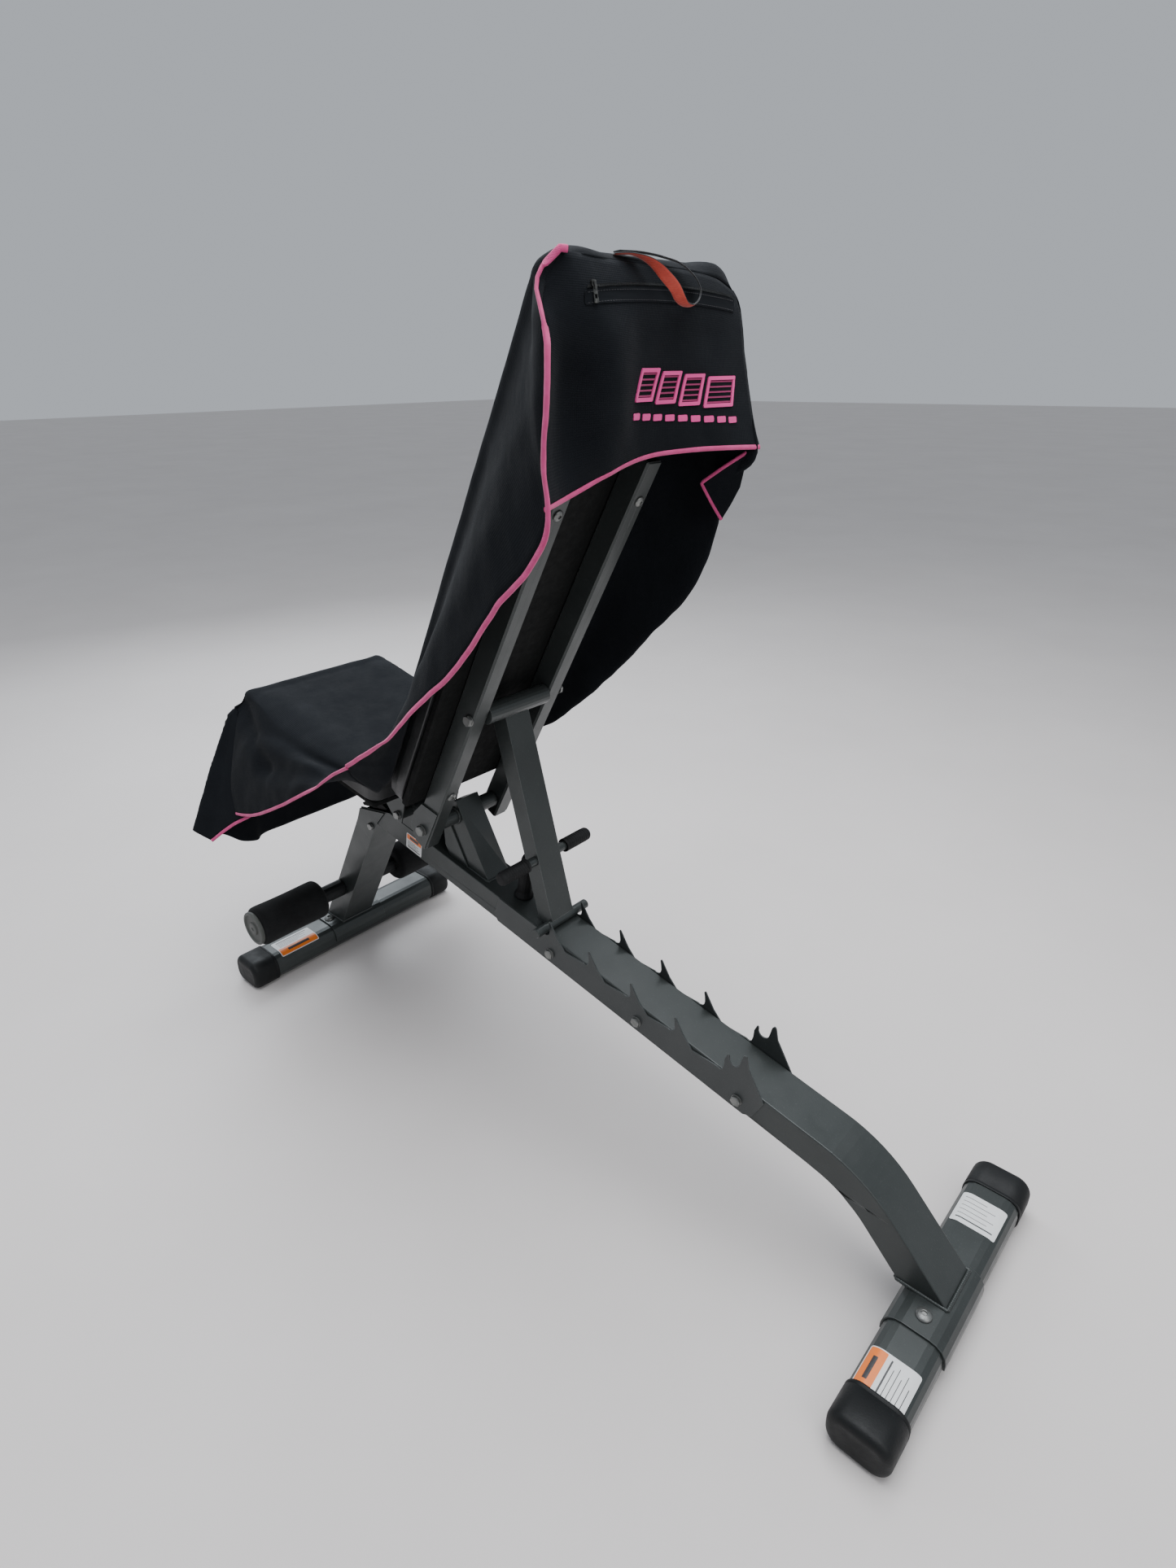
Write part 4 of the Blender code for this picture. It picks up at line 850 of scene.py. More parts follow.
# ------------------------------------------------------------------ cushions
def cushion(node, body, place, low, high, crown, inset):
    """A crowned vinyl pad: flat underneath, sides pulled in towards a seam, corners drawn in.

    place turns (along, y, up) into a point. low and high are opposite corners in that frame."""
    bm = bmesh.new()
    bmesh.ops.create_cube(bm, size=1.0)
    bmesh.ops.subdivide_edges(bm, edges=bm.edges[:], cuts=22, use_grid_fill=True)
    half = [(b - a) / 2 for a, b in zip(low, high)]
    centre = [(a + b) / 2 for a, b in zip(low, high)]
    corner = 0.022
    for v in bm.verts:
        u = [c * 2 for c in v.co]
        p = [u[i] * half[i] for i in range(3)]
        lean = [max(0.0, abs(p[i]) - (half[i] - corner)) for i in range(2)]
        reach = math.hypot(*lean)
        if reach > corner:
            for i in range(2):
                p[i] = math.copysign(half[i] - corner + lean[i] * corner / reach, p[i])
        rise = (1 - u[0] ** 2) * (1 - u[1] ** 2)
        edge = max(abs(u[0]), abs(u[1]))
        if u[2] > 0:
            roll = max(0.0, 1 - (1 - edge) * 9) ** 2
            p[2] = half[2] - crown * (1 - rise ** 0.35) * 0.55 - roll * 0.006
            if u[2] < 0.999:
                p[2] = -half[2] + (p[2] + half[2]) * (u[2] + 1) / 2
        side = max(0.0, edge - 0.985) / 0.015
        pull = inset * side * (1 - (1 - min(1.0, abs(u[2]))) ** 2) * 0.35
        swell = 0.0012 * noise.noise(Vector(p) * 16)
        for i in range(2):
            if abs(u[i]) > 0.98:
                p[i] -= math.copysign(pull + max(0.0, swell), p[i])
        v.co = place(*(p[i] + centre[i] for i in range(3)))
    made = piece(node + "_soft", bm, VINYL, smooth=75.0)
    smooth = made.modifiers.new("fullness", "SUBSURF")
    smooth.levels = 1
    smooth.render_levels = 1
    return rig.padded(settle(made, node, "black_vinyl", body), fill=0.85)


def back_place(s, y, n):
    return back_point(s, n, y)


cushion("seat_pad", "seat", seat_point, (-0.3575, -0.1425, 0.0692), (0.0295, 0.1425, 0.1208), 0.006, 0.003)
cushion("back_pad", "backrest", back_place, (0.0505, -0.1395, 0.0348), (0.8925, 0.1395, 0.0744), 0.005, 0.003)


# ------------------------------------------------------------------ towel
def spline(values, knots, at):
    """Cubic curve through values at knots, with slopes that don't overshoot much."""
    values = np.asarray(values, float)
    knots = np.asarray(knots, float)
    gaps = np.diff(knots)
    rise = np.diff(values, axis=0) / gaps[:, None]
    slopes = np.zeros_like(values)
    slopes[0], slopes[-1] = rise[0], rise[-1]
    weight = (gaps[1:] / (gaps[:-1] + gaps[1:]))[:, None]
    slopes[1:-1] = rise[:-1] * weight + rise[1:] * (1 - weight)
    i = np.clip(np.searchsorted(knots, at, side="right") - 1, 0, len(gaps) - 1)
    t = ((at - knots[i]) / gaps[i])[:, None]
    g = gaps[i][:, None]
    return ((2 * t ** 3 - 3 * t ** 2 + 1) * values[i] + (t ** 3 - 2 * t ** 2 + t) * g * slopes[i]
            + (-2 * t ** 3 + 3 * t ** 2) * values[i + 1] + (t ** 3 - t ** 2) * g * slopes[i + 1])


def chords(lines):
    """Knots along the first axis of a control grid, from the mean distance between its rows."""
    steps = np.linalg.norm(np.diff(lines, axis=0), axis=2).mean(axis=1)
    return np.concatenate([[0.0], np.cumsum(np.maximum(steps, 1e-4))])


def surface(control, spacing=0.006):
    """A dense grid through a control grid of rows and columns."""
    control = np.asarray(control, float)
    down, over = chords(control), chords(control.transpose(1, 0, 2))
    rows = np.linspace(0, down[-1], max(4, int(down[-1] / spacing)))
    columns = np.linspace(0, over[-1], max(4, int(over[-1] / spacing)))
    part = np.stack([spline(control[:, c], down, rows) for c in range(control.shape[1])], axis=1)
    return np.stack([spline(part[r], over, columns) for r in range(len(rows))], axis=0)


def grid_normals(grid):
    along = np.gradient(grid, axis=0)
    across = np.gradient(grid, axis=1)
    n = np.cross(along, across)
    return n / np.maximum(np.linalg.norm(n, axis=2, keepdims=True), 1e-9)


def grid_mesh(bm, grid, uv, shift=0.0):
    """Faces over a dense grid, with a UV in metres of flat cloth."""
    rows, columns = grid.shape[:2]
    verts = [[bm.verts.new(grid[r, c]) for c in range(columns)] for r in range(rows)]
    down = chords(grid) + shift
    over = chords(grid.transpose(1, 0, 2))
    for r in range(rows - 1):
        for c in range(columns - 1):
            corners = ((r, c), (r, c + 1), (r + 1, c + 1), (r + 1, c))
            face = bm.faces.new([verts[i][j] for i, j in corners])
            for loop, (i, j) in zip(face.loops, corners):
                loop[uv].uv = (over[j], down[i])


def area_of(grid):
    a, b = grid[1:, :-1] - grid[:-1, :-1], grid[:-1, 1:] - grid[:-1, :-1]
    c, d = grid[1:, 1:] - grid[:-1, 1:], grid[1:, 1:] - grid[1:, :-1]
    return sum(float(np.linalg.norm(np.cross(*pair), axis=2).sum()) / 2 for pair in ((a, b), (c, d)))


HALF = 0.1455                      # half width of the pads under the cloth
SEAT_HALF = 0.15                 # and of the seat pad


def section(face, normal, near, far, near_mid=None, far_mid=None, half=HALF, drop=0.021, tent=0.0):
    """One cross-section of the towel, from its near hem over the pad to its far hem.

    face is (x, z) on the pad's cloth, and normal points away from the pad. near and far are the hems, and the
    mids are given points of the two flaps. tent holds the near shoulder off the pad's edge."""

    def at(y, sink):
        return (face[0] - normal[0] * sink, y, face[1] - normal[1] * sink)

    def flap(side, hem, mids):
        proud = tent if side < 0 else 0.0
        top, hem = Vector(at(side * (half + 0.0045 + proud), drop + proud)), Vector(hem)
        points = [tuple(top)]
        for share, given in zip((0.38, 0.72), mids or (None, None)):
            p = top.lerp(hem, share)
            p.y += side * 0.01 * math.sin(math.pi * share)
            points.append(given or tuple(p))
        return [tuple(hem), *points[::-1]]

    over = [at(-(half + 0.0015 + tent * 0.5), drop / 3 + tent * 0.42),
            at(-(half - 0.01), 0.0005 + tent * 0.1), at(-0.075, 0.0), at(0.0, 0.0), at(0.075, 0.0),
            at(half - 0.01, 0.0005), at(half + 0.0015, drop / 3)]
    return flap(-1, near, near_mid) + over + flap(1, far, far_mid)[::-1]


def seat_xz(a, h):
    p = seat_point(a, 0, h)
    return p.x, p.z


def back_xz(s, n):
    p = back_point(s, n, 0)
    return p.x, p.z


SEAT_UP = (math.sin(SEAT_SLOPE), math.cos(SEAT_SLOPE))
SEAT_FORE = (-math.cos(SEAT_SLOPE), math.sin(SEAT_SLOPE))
BACK_OUT = (-math.sin(RAIL_SLOPE), math.cos(RAIL_SLOPE))


def between(a, b, share):
    x, z = a[0] + (b[0] - a[0]) * share, a[1] + (b[1] - a[1]) * share
    size = math.hypot(x, z)
    return x / size, z / size


def distances(points):
    """Distances along a line of points, from its start to each of them."""
    return np.concatenate([[0.0], np.cumsum(np.linalg.norm(np.diff(points, axis=0), axis=1))])


def polyline(points, share):
    points = np.asarray(points, float)
    knots = distances(points)
    return spline(points, knots, np.array([share * knots[-1]]))[0]


# corner of the towel at the seat's front: its side hem runs back into a pleat, its front edge stands out
NEAR_SIDE_HEM = mm(((-700, -223, 398), (-660, -209, 408), (-622, -209, 413), (-660, -238, 385),
    (-698, -266, 349)))
NEAR_FRONT_EDGE = mm(((-742, -150, 285), (-729, -195, 308), (-724, -225, 336), (-738, -282, 366),
    (-698, -266, 349)))
FAR_SIDE_HEM = mm(((-692, 226, 392), (-655, 212, 402), (-630, 214, 405), (-668, 240, 375),
    (-705, 262, 340)))
FAR_FRONT_EDGE = mm(((-744, 150, 282), (-729, 196, 304), (-725, 226, 326), (-742, 277, 352),
    (-705, 262, 340)))


CORNERS = {-1: (np.array((-0.702, -0.157, 0.632)), NEAR_SIDE_HEM, NEAR_FRONT_EDGE),
           1: (np.array((-0.693, 0.159, 0.636)), FAR_SIDE_HEM, FAR_FRONT_EDGE)}
SPREADS = (1.0, 0.72, 0.4, 0.14)


def corner_point(fall, spread, side):
    """A point of a corner's cone of cloth. fall and spread go from 0 at the pad's corner to 1 at the hems."""
    apex, side_hem, front_edge = CORNERS[side]
    if max(fall, spread) < 1e-6:
        return apex
    if fall >= spread:
        edge, depth = polyline(front_edge, spread / fall), fall
    else:
        edge, depth = polyline(side_hem, fall / spread), spread
    belly = 0.002 * math.sin(math.pi * min(1.0, depth)) * min(1.0, 4 * fall * spread / depth ** 2)
    return apex + (edge - apex) * depth + np.array((-belly * 0.6, side * belly, 0.0))


# rows of the seat part's front: (along, up), the normal's turn from fore to up, fall below the nose
SEAT_ROWS = (((-0.376, -0.224), 0.0, 1.0), ((-0.3725, -0.14), 0.0, 0.77), ((-0.369, -0.058), 0.0, 0.54),
             ((-0.3655, 0.02), 0.0, 0.34), ((-0.3635, 0.075), 0.0, 0.16), ((-0.3625, 0.11), 0.15, 0.06),
             ((-0.353, 0.1285), 0.55, 0.0))
# on its flat part: (along, up), near hem, far hem, tent, and points of the near flap
FLAT_ROWS = mm((((-325, 131.5), (-690, -225, 400), (-680, 227, 392), 4, ()), ((-245, 129),
    (-590, -227.5, 427), (-585, 229, 402), 17, ((-606, -193, 560), (-600, -214, 490))), ((-150, 126.2),
    (-480, -226, 481), (-490, 228, 430), 15, ((-490, -196, 562), (-484, -219, 520))), ((-65, 126),
    (-390, -221, 534), (-405, 222, 470), 8, ((-397, -194, 572), (-392, -216, 553))), ((-10, 126.2),
    (-330, -217, 571), (-340, 216, 503), 2, ()), ((20, 128.5), (-292, -213, 597), (-295, 212, 530), 0, ())))
SPLIT = ((-0.2785, 0.5705), between(SEAT_UP, BACK_OUT, 0.5), (-0.257, -0.211, 0.618), (-0.252, 0.208, 0.556))


def seat_control():
    rows = []
    for (a, h), turn, fall in SEAT_ROWS:
        normal = between(SEAT_FORE, SEAT_UP, turn) if turn else SEAT_FORE
        row = section(seat_xz(a, h), normal, (0, -0.2, 0), (0, 0.2, 0), half=SEAT_HALF,
                      drop=0.001 + 0.008 * turn)
        for side in (-1, 1):
            for k, spread in enumerate(SPREADS):
                row[k if side < 0 else -1 - k] = tuple(corner_point(fall, spread, side))
            for k, pull in ((4, 0.75), (5, 0.3)):
                k = k if side < 0 else -1 - k
                row[k] = tuple(np.array(row[k]) * (1 - pull) + corner_point(fall, 0.0, side) * pull)
        rows.append(row)
    for (a, h), near, far, tent, mids in FLAT_ROWS:
        rows.append(section(seat_xz(a, h), SEAT_UP, near, far, mids, half=SEAT_HALF, drop=0.009, tent=tent))
    rows.append(section(*SPLIT))
    return rows


def drape_corners(grid, control):
    """Lays the dense grid exactly on the corners' cones, where the control rows only sample them."""
    control = np.asarray(control, float)
    down, over = chords(control), chords(control.transpose(1, 0, 2))
    at = np.linspace(0, down[-1], grid.shape[0])
    falls = np.interp(at, down[:len(SEAT_ROWS)], [row[2] for row in SEAT_ROWS])
    at = np.linspace(0, over[-1], grid.shape[1])
    spreads = {-1: np.interp(at, over[:5], (*SPREADS, 0.0)),
               1: np.interp(at, over[-5:], (*SPREADS, 0.0)[::-1], left=0.0)}
    for r, fall in enumerate(falls):
        for side, row in spreads.items():
            for c, spread in enumerate(row):
                if fall > 0.0 and spread > 0.0:
                    share = min(1.0, spread / SPREADS[-1])
                    grid[r, c] = grid[r, c] * (1 - share) + corner_point(fall, spread, side) * share
    return grid


# rows of the back part: (along, forward) on the rails, near hem, far hem
BACK_ROWS = mm((((98, 79.2), (-226, -209, 639), (-212, 206, 584)), ((165, 78.6), (-181, -206, 670),
    (-165, 205, 619)), ((245, 78.5), (-138, -205, 702), (-120, 203, 655)), ((335, 78.5), (-92, -203, 745),
    (-79, 202, 690)), ((425, 78.5), (-44, -201, 786), (-28, 201, 740)), ((515, 78.5), (6, -200, 828),
    (26, 200, 796)), ((600, 78.5), (56, -200, 880), (78, 200, 848)), ((685, 78.5), (106, -200, 936),
    (118, 200, 905)), ((765, 78.5), (156, -200, 981), (143, 199, 978)), ((830, 78.7), (188, -199, 1035),
    (165, 176, 1040)), ((872, 78.7), (184, -197, 1105), (220, 168, 1092))))


# the edge that joins the hood's panel, and the panel's rows from there down to its hem
HOOD_TOP = mm(((172, -152, 1292.5), (172.5, -151, 1292.5), (173, -150, 1292.5), (173.5, -149, 1292.5),
    (175, -143, 1292), (178, -128, 1290), (181, -75, 1287), (182, 0, 1286), (182, 75, 1284),
    (182, 128, 1277), (182.5, 142, 1272), (183, 144.5, 1270), (183.5, 145.5, 1269), (184, 146.5, 1268),
    (184.5, 147.5, 1267)))
PANEL = mm((((172, -152, 1292.5), (176.5, -136, 1291.2), (180, -95, 1288.2), (182, -30, 1286.2),
    (182, 50, 1285), (182, 110, 1280), (184.5, 147.5, 1267)), ((158.5, -170, 1266), (182, -140, 1264),
    (189.5, -98, 1263), (191, -30, 1263), (191, 50, 1263), (190, 110, 1259), (189, 156, 1246)),
    ((178, -181, 1228), (180, -143, 1220), (200, -103, 1215), (191, -35, 1212), (191, 50, 1211),
    (193, 110, 1209), (194, 161, 1208)), ((187.5, -190, 1170), (163, -142, 1163), (197, -100, 1160),
    (186, -35, 1158), (189, 50, 1156), (199, 110, 1153), (205, 166, 1150)), ((184, -197, 1105),
    (160, -140, 1105), (189, -96, 1113), (181, -30, 1118), (191, 50, 1116), (205, 110, 1113),
    (213, 170, 1112)), ((187.5, -198.5, 1048), (166, -142, 1053), (177, -90, 1072), (176.5, -20, 1087),
    (190, 48, 1091.5), (206, 105, 1091.5), (221, 172, 1089))))
OVER_EDGE = between(BACK_OUT, (0.3, 1.0), 0.7)


def back_control():
    rows = [section(*SPLIT)]
    for (s, n), near, far in BACK_ROWS:
        turned = (far[0] - 0.017, far[1] + 0.01, far[2] + 0.01)
        rows.append(section(back_xz(s, n), BACK_OUT, near, turned, None, (None, far)))
    for face, normal, seam in (((0.1335, 1.2905), OVER_EDGE, PANEL[3]), ((0.156, 1.296), OVER_EDGE, PANEL[2]),
                               ((0.172, 1.2925), (0.35, 0.93), PANEL[1])):
        rows.append(section(face, normal, seam[0], seam[-1]))
    rows.append(HOOD_TOP)
    return rows


def crinkle(grid, strength, seed, hang=None):
    """Soft folds and small wrinkles, stronger towards the hems where the cloth hangs free."""
    normals = grid_normals(grid)
    columns = grid.shape[1]
    for r in range(grid.shape[0]):
        for c in range(columns):
            side = abs(c / (columns - 1) - 0.5) * 2
            free = hang(r, c) if hang else max(0.0, (side - 0.48) / 0.52)
            p = Vector(grid[r, c])
            long_fold = noise.noise(Vector((p.x * 9 + seed, p.y * 5, p.z * 9)))
            small = noise.noise(Vector((p.x * 34, p.y * 26 + seed, p.z * 34)))
            grid[r, c] += normals[r, c] * (strength * free * (0.75 * long_fold + 0.25 * small)
                                           + 0.0007 * small * (0.25 + free))


def relax(grid, centre, radius=0.04, rounds=12):
    """Rounds a grid off near a point, most at the point itself."""
    share = np.clip(1.0 - np.linalg.norm(grid - centre, axis=2, keepdims=True) / radius, 0.0, 1.0)[1:-1, 1:-1]
    for _ in range(rounds):
        mean = (grid[:-2, 1:-1] + grid[2:, 1:-1] + grid[1:-1, :-2] + grid[1:-1, 2:]) / 4
        grid[1:-1, 1:-1] += (mean - grid[1:-1, 1:-1]) * share * 0.8


def fold(grid, line, width, height, columns):
    """A soft ridge (or valley, if height is below 0) along a line, over a share of the columns."""
    normals = grid_normals(grid)
    path = np.asarray(line, float)
    for r in range(grid.shape[0]):
        for c in range(int(grid.shape[1] * columns)):
            best = 1e9
            for a, b in zip(path, path[1:]):
                d = b - a
                t = np.clip(np.dot(grid[r, c] - a, d) / np.dot(d, d), 0, 1)
                off = grid[r, c] - (a + d * t)
                best = min(best, float(np.dot(off, off)))
            grid[r, c] += normals[r, c] * height * math.exp(-best / (2 * width * width))


def ribbon(bm, route, wides, at, outline, uv_step, lined=()):
    """A closed outline of (across, up) points swept along a route. Its lined sides take the second look."""
    uv = bm.loops.layers.uv.new("cloth")
    ahead = np.gradient(route, axis=0)
    rings = []
    for k, centre in enumerate(route):
        along, wide = Vector(ahead[k]).normalized(), Vector(wides[k])
        wide = (wide - along * wide.dot(along)).normalized()
        up = along.cross(wide)
        rings.append([bm.verts.new(Vector(centre) + wide * a + up * b) for a, b in outline])
    sides = len(outline)
    for k, (a, b) in enumerate(zip(rings, rings[1:])):
        for i in range(sides):
            j = (i + 1) % sides
            face = bm.faces.new((a[i], a[j], b[j], b[i]))
            face.material_index = int(i in lined)
            for loop, (m, n) in zip(face.loops, ((i, k), (i + 1, k), (i + 1, k + 1), (i, k + 1))):
                loop[uv].uv = (m * uv_step, at[n])
    bm.faces.new(rings[0])
    bm.faces.new(rings[-1][::-1])


def binding(name, line, out, width, thick):
    """A folded binding sewn over a hem: a flattened tube along the edge."""
    line = np.asarray(line, float)
    run = distances(line)
    at = np.linspace(0, run[-1], max(8, int(run[-1] / 0.004)))
    points, outs = (np.stack([np.interp(at, run, np.asarray(v)[:, k]) for k in range(3)], axis=1)
                    for v in (line, out))
    outline = [(math.copysign(abs(c) ** 0.8, c) * width / 2, math.copysign(abs(s) ** 0.8, s) * thick / 2)
               for c, s in circle(12)]
    bm = bmesh.new()
    ribbon(bm, points, outs, at, outline, 0.0013)
    return piece(name, bm, PIPING, smooth=60.0)


def sheet_point(points, normals, y, z, lift):
    """The point of a sheet seen along X at y and z, raised by lift on the side away from the bench."""
    off = (points[:, 1] - y) ** 2 + (points[:, 2] - z) ** 2
    nearest = np.argpartition(off, 5)[:5]
    weights = 1.0 / (off[nearest] + 1e-6)
    weights /= weights.sum()
    x = float((points[nearest, 0] * weights).sum())
    normal = (normals[nearest] * weights[:, None]).sum(axis=0)
    normal *= math.copysign(1.0, normal[0]) / max(1e-6, np.linalg.norm(normal))
    return Vector((x, y, z)) + Vector(normal) * lift


def edge_of(grid, column):
    """The points of one edge column, and the direction out of the cloth there."""
    inside = 1 if column == 0 else -2
    return grid[:, column], grid[:, column] - grid[:, inside]


def thicken(made):
    thick = made.modifiers.new("cloth_thickness", "SOLIDIFY")
    thick.thickness = CLOTH
    thick.offset = 0.0


def cloth_piece(name, grids):
    bm = bmesh.new()
    uv = bm.loops.layers.uv.new("cloth")
    for k, grid in enumerate(grids):
        grid_mesh(bm, grid, uv, 2.0 * k)
    bmesh.ops.remove_doubles(bm, verts=bm.verts, dist=0.0004)
    made = mesh_object(name, bm, TOWEL)
    made.data.shade_smooth()
    thicken(made)
    return made


def panel_free(r, c):
    return min(1.0, min(c, panel_grid.shape[1] - 1 - c) / 12, r / 10) * 0.6


# folds on the near side: a line, the fold's width, and its height (below 0 for a valley)
SEAT_FOLDS = mm((
    (((-688, -158, 616), (-640, -170, 588), (-585, -184, 556), (-540, -196, 530)), 12, -10.5),
    (((-580, -176, 562), (-452, -182, 574), (-340, -186, 590)), 10, 6.5),
    (((-560, -202, 528), (-450, -204, 545), (-370, -203, 568)), 14, -8.5)))
BACK_FOLD = mm((((110, -165, 1033), (35, -167, 939), (-86, -168, 787)), 14, 6))

seat_grid = drape_corners(surface(seat_control()), seat_control())
back_grid = surface(back_control())
panel_grid = surface(PANEL)
for apex, *_ in CORNERS.values():
    relax(seat_grid, apex)
crinkle(seat_grid, 0.0035, 3.0)
for line, width, height in SEAT_FOLDS:
    fold(seat_grid, line, width, height, 0.42)
crinkle(back_grid, 0.004, 11.0)
crinkle(panel_grid, 0.005, 23.0, panel_free)
fold(back_grid, *BACK_FOLD, 0.45)

RIGID_TRIMS = ("tucked_corner", "tucked_corner_binding", "hood_mark", "zip_placket", "zip_teeth",
               "zip_slider", "hang_loop")
SEAT_BLEND = {"start": tuple(seat_point(-0.1, 0, 0.12)), "end": (-0.282, 0.0, 0.572)}
BACK_BLEND = {"start": (-0.275, 0.0, 0.575), "end": tuple(back_point(0.27, 0.078, 0))}

seat_towel = cloth_piece("seat_towel", [seat_grid])
back_towel = cloth_piece("back_towel", [back_grid, panel_grid])

seat_trims, back_trims = [], []
# the back's bindings: width, thickness, how far out of the hem, and a shift where the hood stands over them
for side, column, size, proud, shift in (("near", 0, (0.0074, 0.0046), 0.0022, (0.0036, -0.0046, 0.0)),
                                         ("far", -1, (0.004, 0.003), 0.0, (-0.006, 0.0, 0.0))):
    line, out = edge_of(seat_grid, column)
    seat_trims.append(binding(f"seat_binding_{side}", line, out, 0.0062, 0.004))
    line, out = edge_of(back_grid, column)
    line = line + out / np.linalg.norm(out, axis=1, keepdims=True) * proud
    if side == "near":
        line = np.concatenate([line[:-2], panel_grid[0, 1:6] + np.array((0.0, 0.0, 0.0016))])
        out = np.concatenate([out[:-2], np.repeat([[0.0, 0.0, 0.004]], 5, axis=0)])
    line = line + np.clip((line[:, 2:] - 1.1) / 0.05, 0.0, 1.0) * np.array(shift)
    back_trims.append(binding(f"back_binding_{side}", line, out, *size))
back_trims.append(binding("panel_binding", panel_grid[-1], panel_grid[-1] - panel_grid[-2], 0.0062, 0.004))


# ------------------------------------------------------------------ zip, strap and sewn mark on the hood
SKIN = CLOTH / 2                           # where things sewn on the cloth begin, above its middle


def patch(bm, place, u, v, radius, low, high, look=0, across=14):
    """A thin slab with rounded corners. place turns (u, v, height) into a point; u and v are (from, to)."""
    angles, between_ends = ((0, 20, 40, 60, 90), 6) if across > 2 else ((0, 90), 0)
    ends = [radius * (1 - math.cos(math.radians(a))) for a in angles]
    middle = np.linspace(v[0] + radius, v[1] - radius, between_ends + 2)[1:-1]
    rows = [v[0] + e for e in ends] + list(middle) + [v[1] - e for e in reversed(ends)]
    layers = [[], []]
    for layer, height in zip(layers, (low, high)):
        for at in rows:
            near_end = max(0.0, radius - min(at - v[0], v[1] - at))
            inset = radius - math.sqrt(max(0.0, radius ** 2 - near_end ** 2))
            wide = u[1] - u[0] - 2 * inset
            layer.append([bm.verts.new(place(u[0] + inset + wide * i / across, at, height))
                          for i in range(across + 1)])
    faces = []
    for layer, way in zip(layers, (-1, 1)):
        for a, b in zip(layer, layer[1:]):
            for i in range(across):
                faces.append(bm.faces.new((a[i], a[i + 1], b[i + 1], b[i])[::way]))
    rims = [layer[0] + [row[-1] for row in layer[1:-1]] + layer[-1][::-1] + [row[0] for row in layer[-2:0:-1]]
            for layer in layers]
    faces += bridge(bm, rims)
    for face in faces:
        face.material_index = look


HOOD_POINTS = panel_grid.reshape(-1, 3)
HOOD_NORMALS = grid_normals(panel_grid).reshape(-1, 3)


def hood(u, v, height):
    return sheet_point(HOOD_POINTS, HOOD_NORMALS, u, v, height)


def about(level, half):
    return level - half, level + half


def sewn_mark():
    """An abstract mark in satin stitch: leaning outlined tiles with hatching, over a bar of short dashes."""
    bm = bmesh.new()
    line = 0.0042
    for k, (start, wide) in enumerate(((-0.052, 0.036), (-0.01, 0.036), (0.032, 0.036), (0.074, 0.052))):
        foot, top, end = 1.1495 - 0.0035 * k, 1.1845 - 0.0035 * k, start + wide

        def leaning(u, v, height):
            return hood(u + (v - foot) * 0.3, v, height)

        for v in ((foot, foot + line), (top - line, top)):
            patch(bm, leaning, (start, end), v, 0.0018, SKIN, 0.003)
        for u in ((start, start + line), (end - line, end)):
            patch(bm, leaning, u, (foot, top), 0.0018, SKIN, 0.0029, across=4)
        for row in range(1, 6):
            level = about(foot + (top - foot) * row / 6, 0.0009)
            patch(bm, leaning, (start + line, end - line), level, 0.0008, SKIN, 0.002, 1, across=8)
    for k in range(9):
        start = -0.052 + k * 0.0212
        patch(bm, hood, (start, start + 0.015), about(1.134 - 0.0013 * k, 0.0036), 0.0016, SKIN, 0.0023)
    return piece("hood_mark", bm, THREAD, THREAD_DARK, smooth=50.0)


ZIP_FROM, ZIP_TO = -0.132, 0.138           # the zip's ends across the hood
ZIP_FOOT, ZIP_TOP = 1.2505, 1.264          # the placket's edges in height
STITCHES, TEETH = 66, 140


def zip_sag(y):
    return -0.006 * ((y - 0.01) / 0.13) ** 2


def zip_placket():
    """The flap under the zip, with its far edge lipped up and two rows of stitches."""
    bm = bmesh.new()

    def lipped(u, v, height):
        rise = (v - ZIP_FOOT) / (ZIP_TOP - ZIP_FOOT)
        return hood(u, v + zip_sag(u), height + 0.0022 * rise ** 3)

    patch(bm, lipped, (ZIP_FROM, ZIP_TO), (ZIP_FOOT, ZIP_TOP), 0.003, SKIN, 0.0024, across=60)
    for edge in (ZIP_FOOT + 0.0018, ZIP_TOP - 0.0022):
        for k in range(STITCHES):
            start = ZIP_FROM + 0.003 + k * 0.004
            stitch = (start, start + 0.0026)
            patch(bm, lipped, stitch, about(edge, 0.0003), 0.0002, 0.0023, 0.0028, 1, across=2)
    return piece("zip_placket", bm, TOWEL, STRAP, smooth=50.0)


def zip_teeth():
    bm = bmesh.new()
    for k in range(TEETH):
        start = ZIP_FROM + 0.004 + k * 0.0019
        for row in (0, 1):
            level = ZIP_TOP + 0.0016 + row * 0.0013 + zip_sag(start)
            left = start + 0.00095 * row
            patch(bm, hood, (left, left + 0.0011), (level, level + 0.0019), 0.0003, SKIN, 0.0023, across=2)
    return piece("zip_teeth", bm, PLASTIC, smooth=50.0)


def zip_slider():
    """The slider's body, its bridge and a hanging pull tab with a hole."""
    bm = bmesh.new()
    at = ZIP_FROM + 0.012
    patch(bm, hood, about(at, 0.0032), (1.2595, 1.2665), 0.002, SKIN, 0.0042)
    patch(bm, hood, about(at, 0.001), (1.2575, 1.2645), 0.0006, 0.0042, 0.0056, across=4)
    for u in ((at - 0.0027, at - 0.0012), (at + 0.0012, at + 0.0027)):
        patch(bm, hood, u, (1.2475, 1.259), 0.0006, 0.0034, 0.0044, across=4)
    for v in ((1.245, 1.249), (1.253, 1.2595)):
        patch(bm, hood, about(at, 0.0027), v, 0.001, 0.0034, 0.0046, across=6)
    return piece("zip_slider", bm, SLIDER, smooth=50.0)


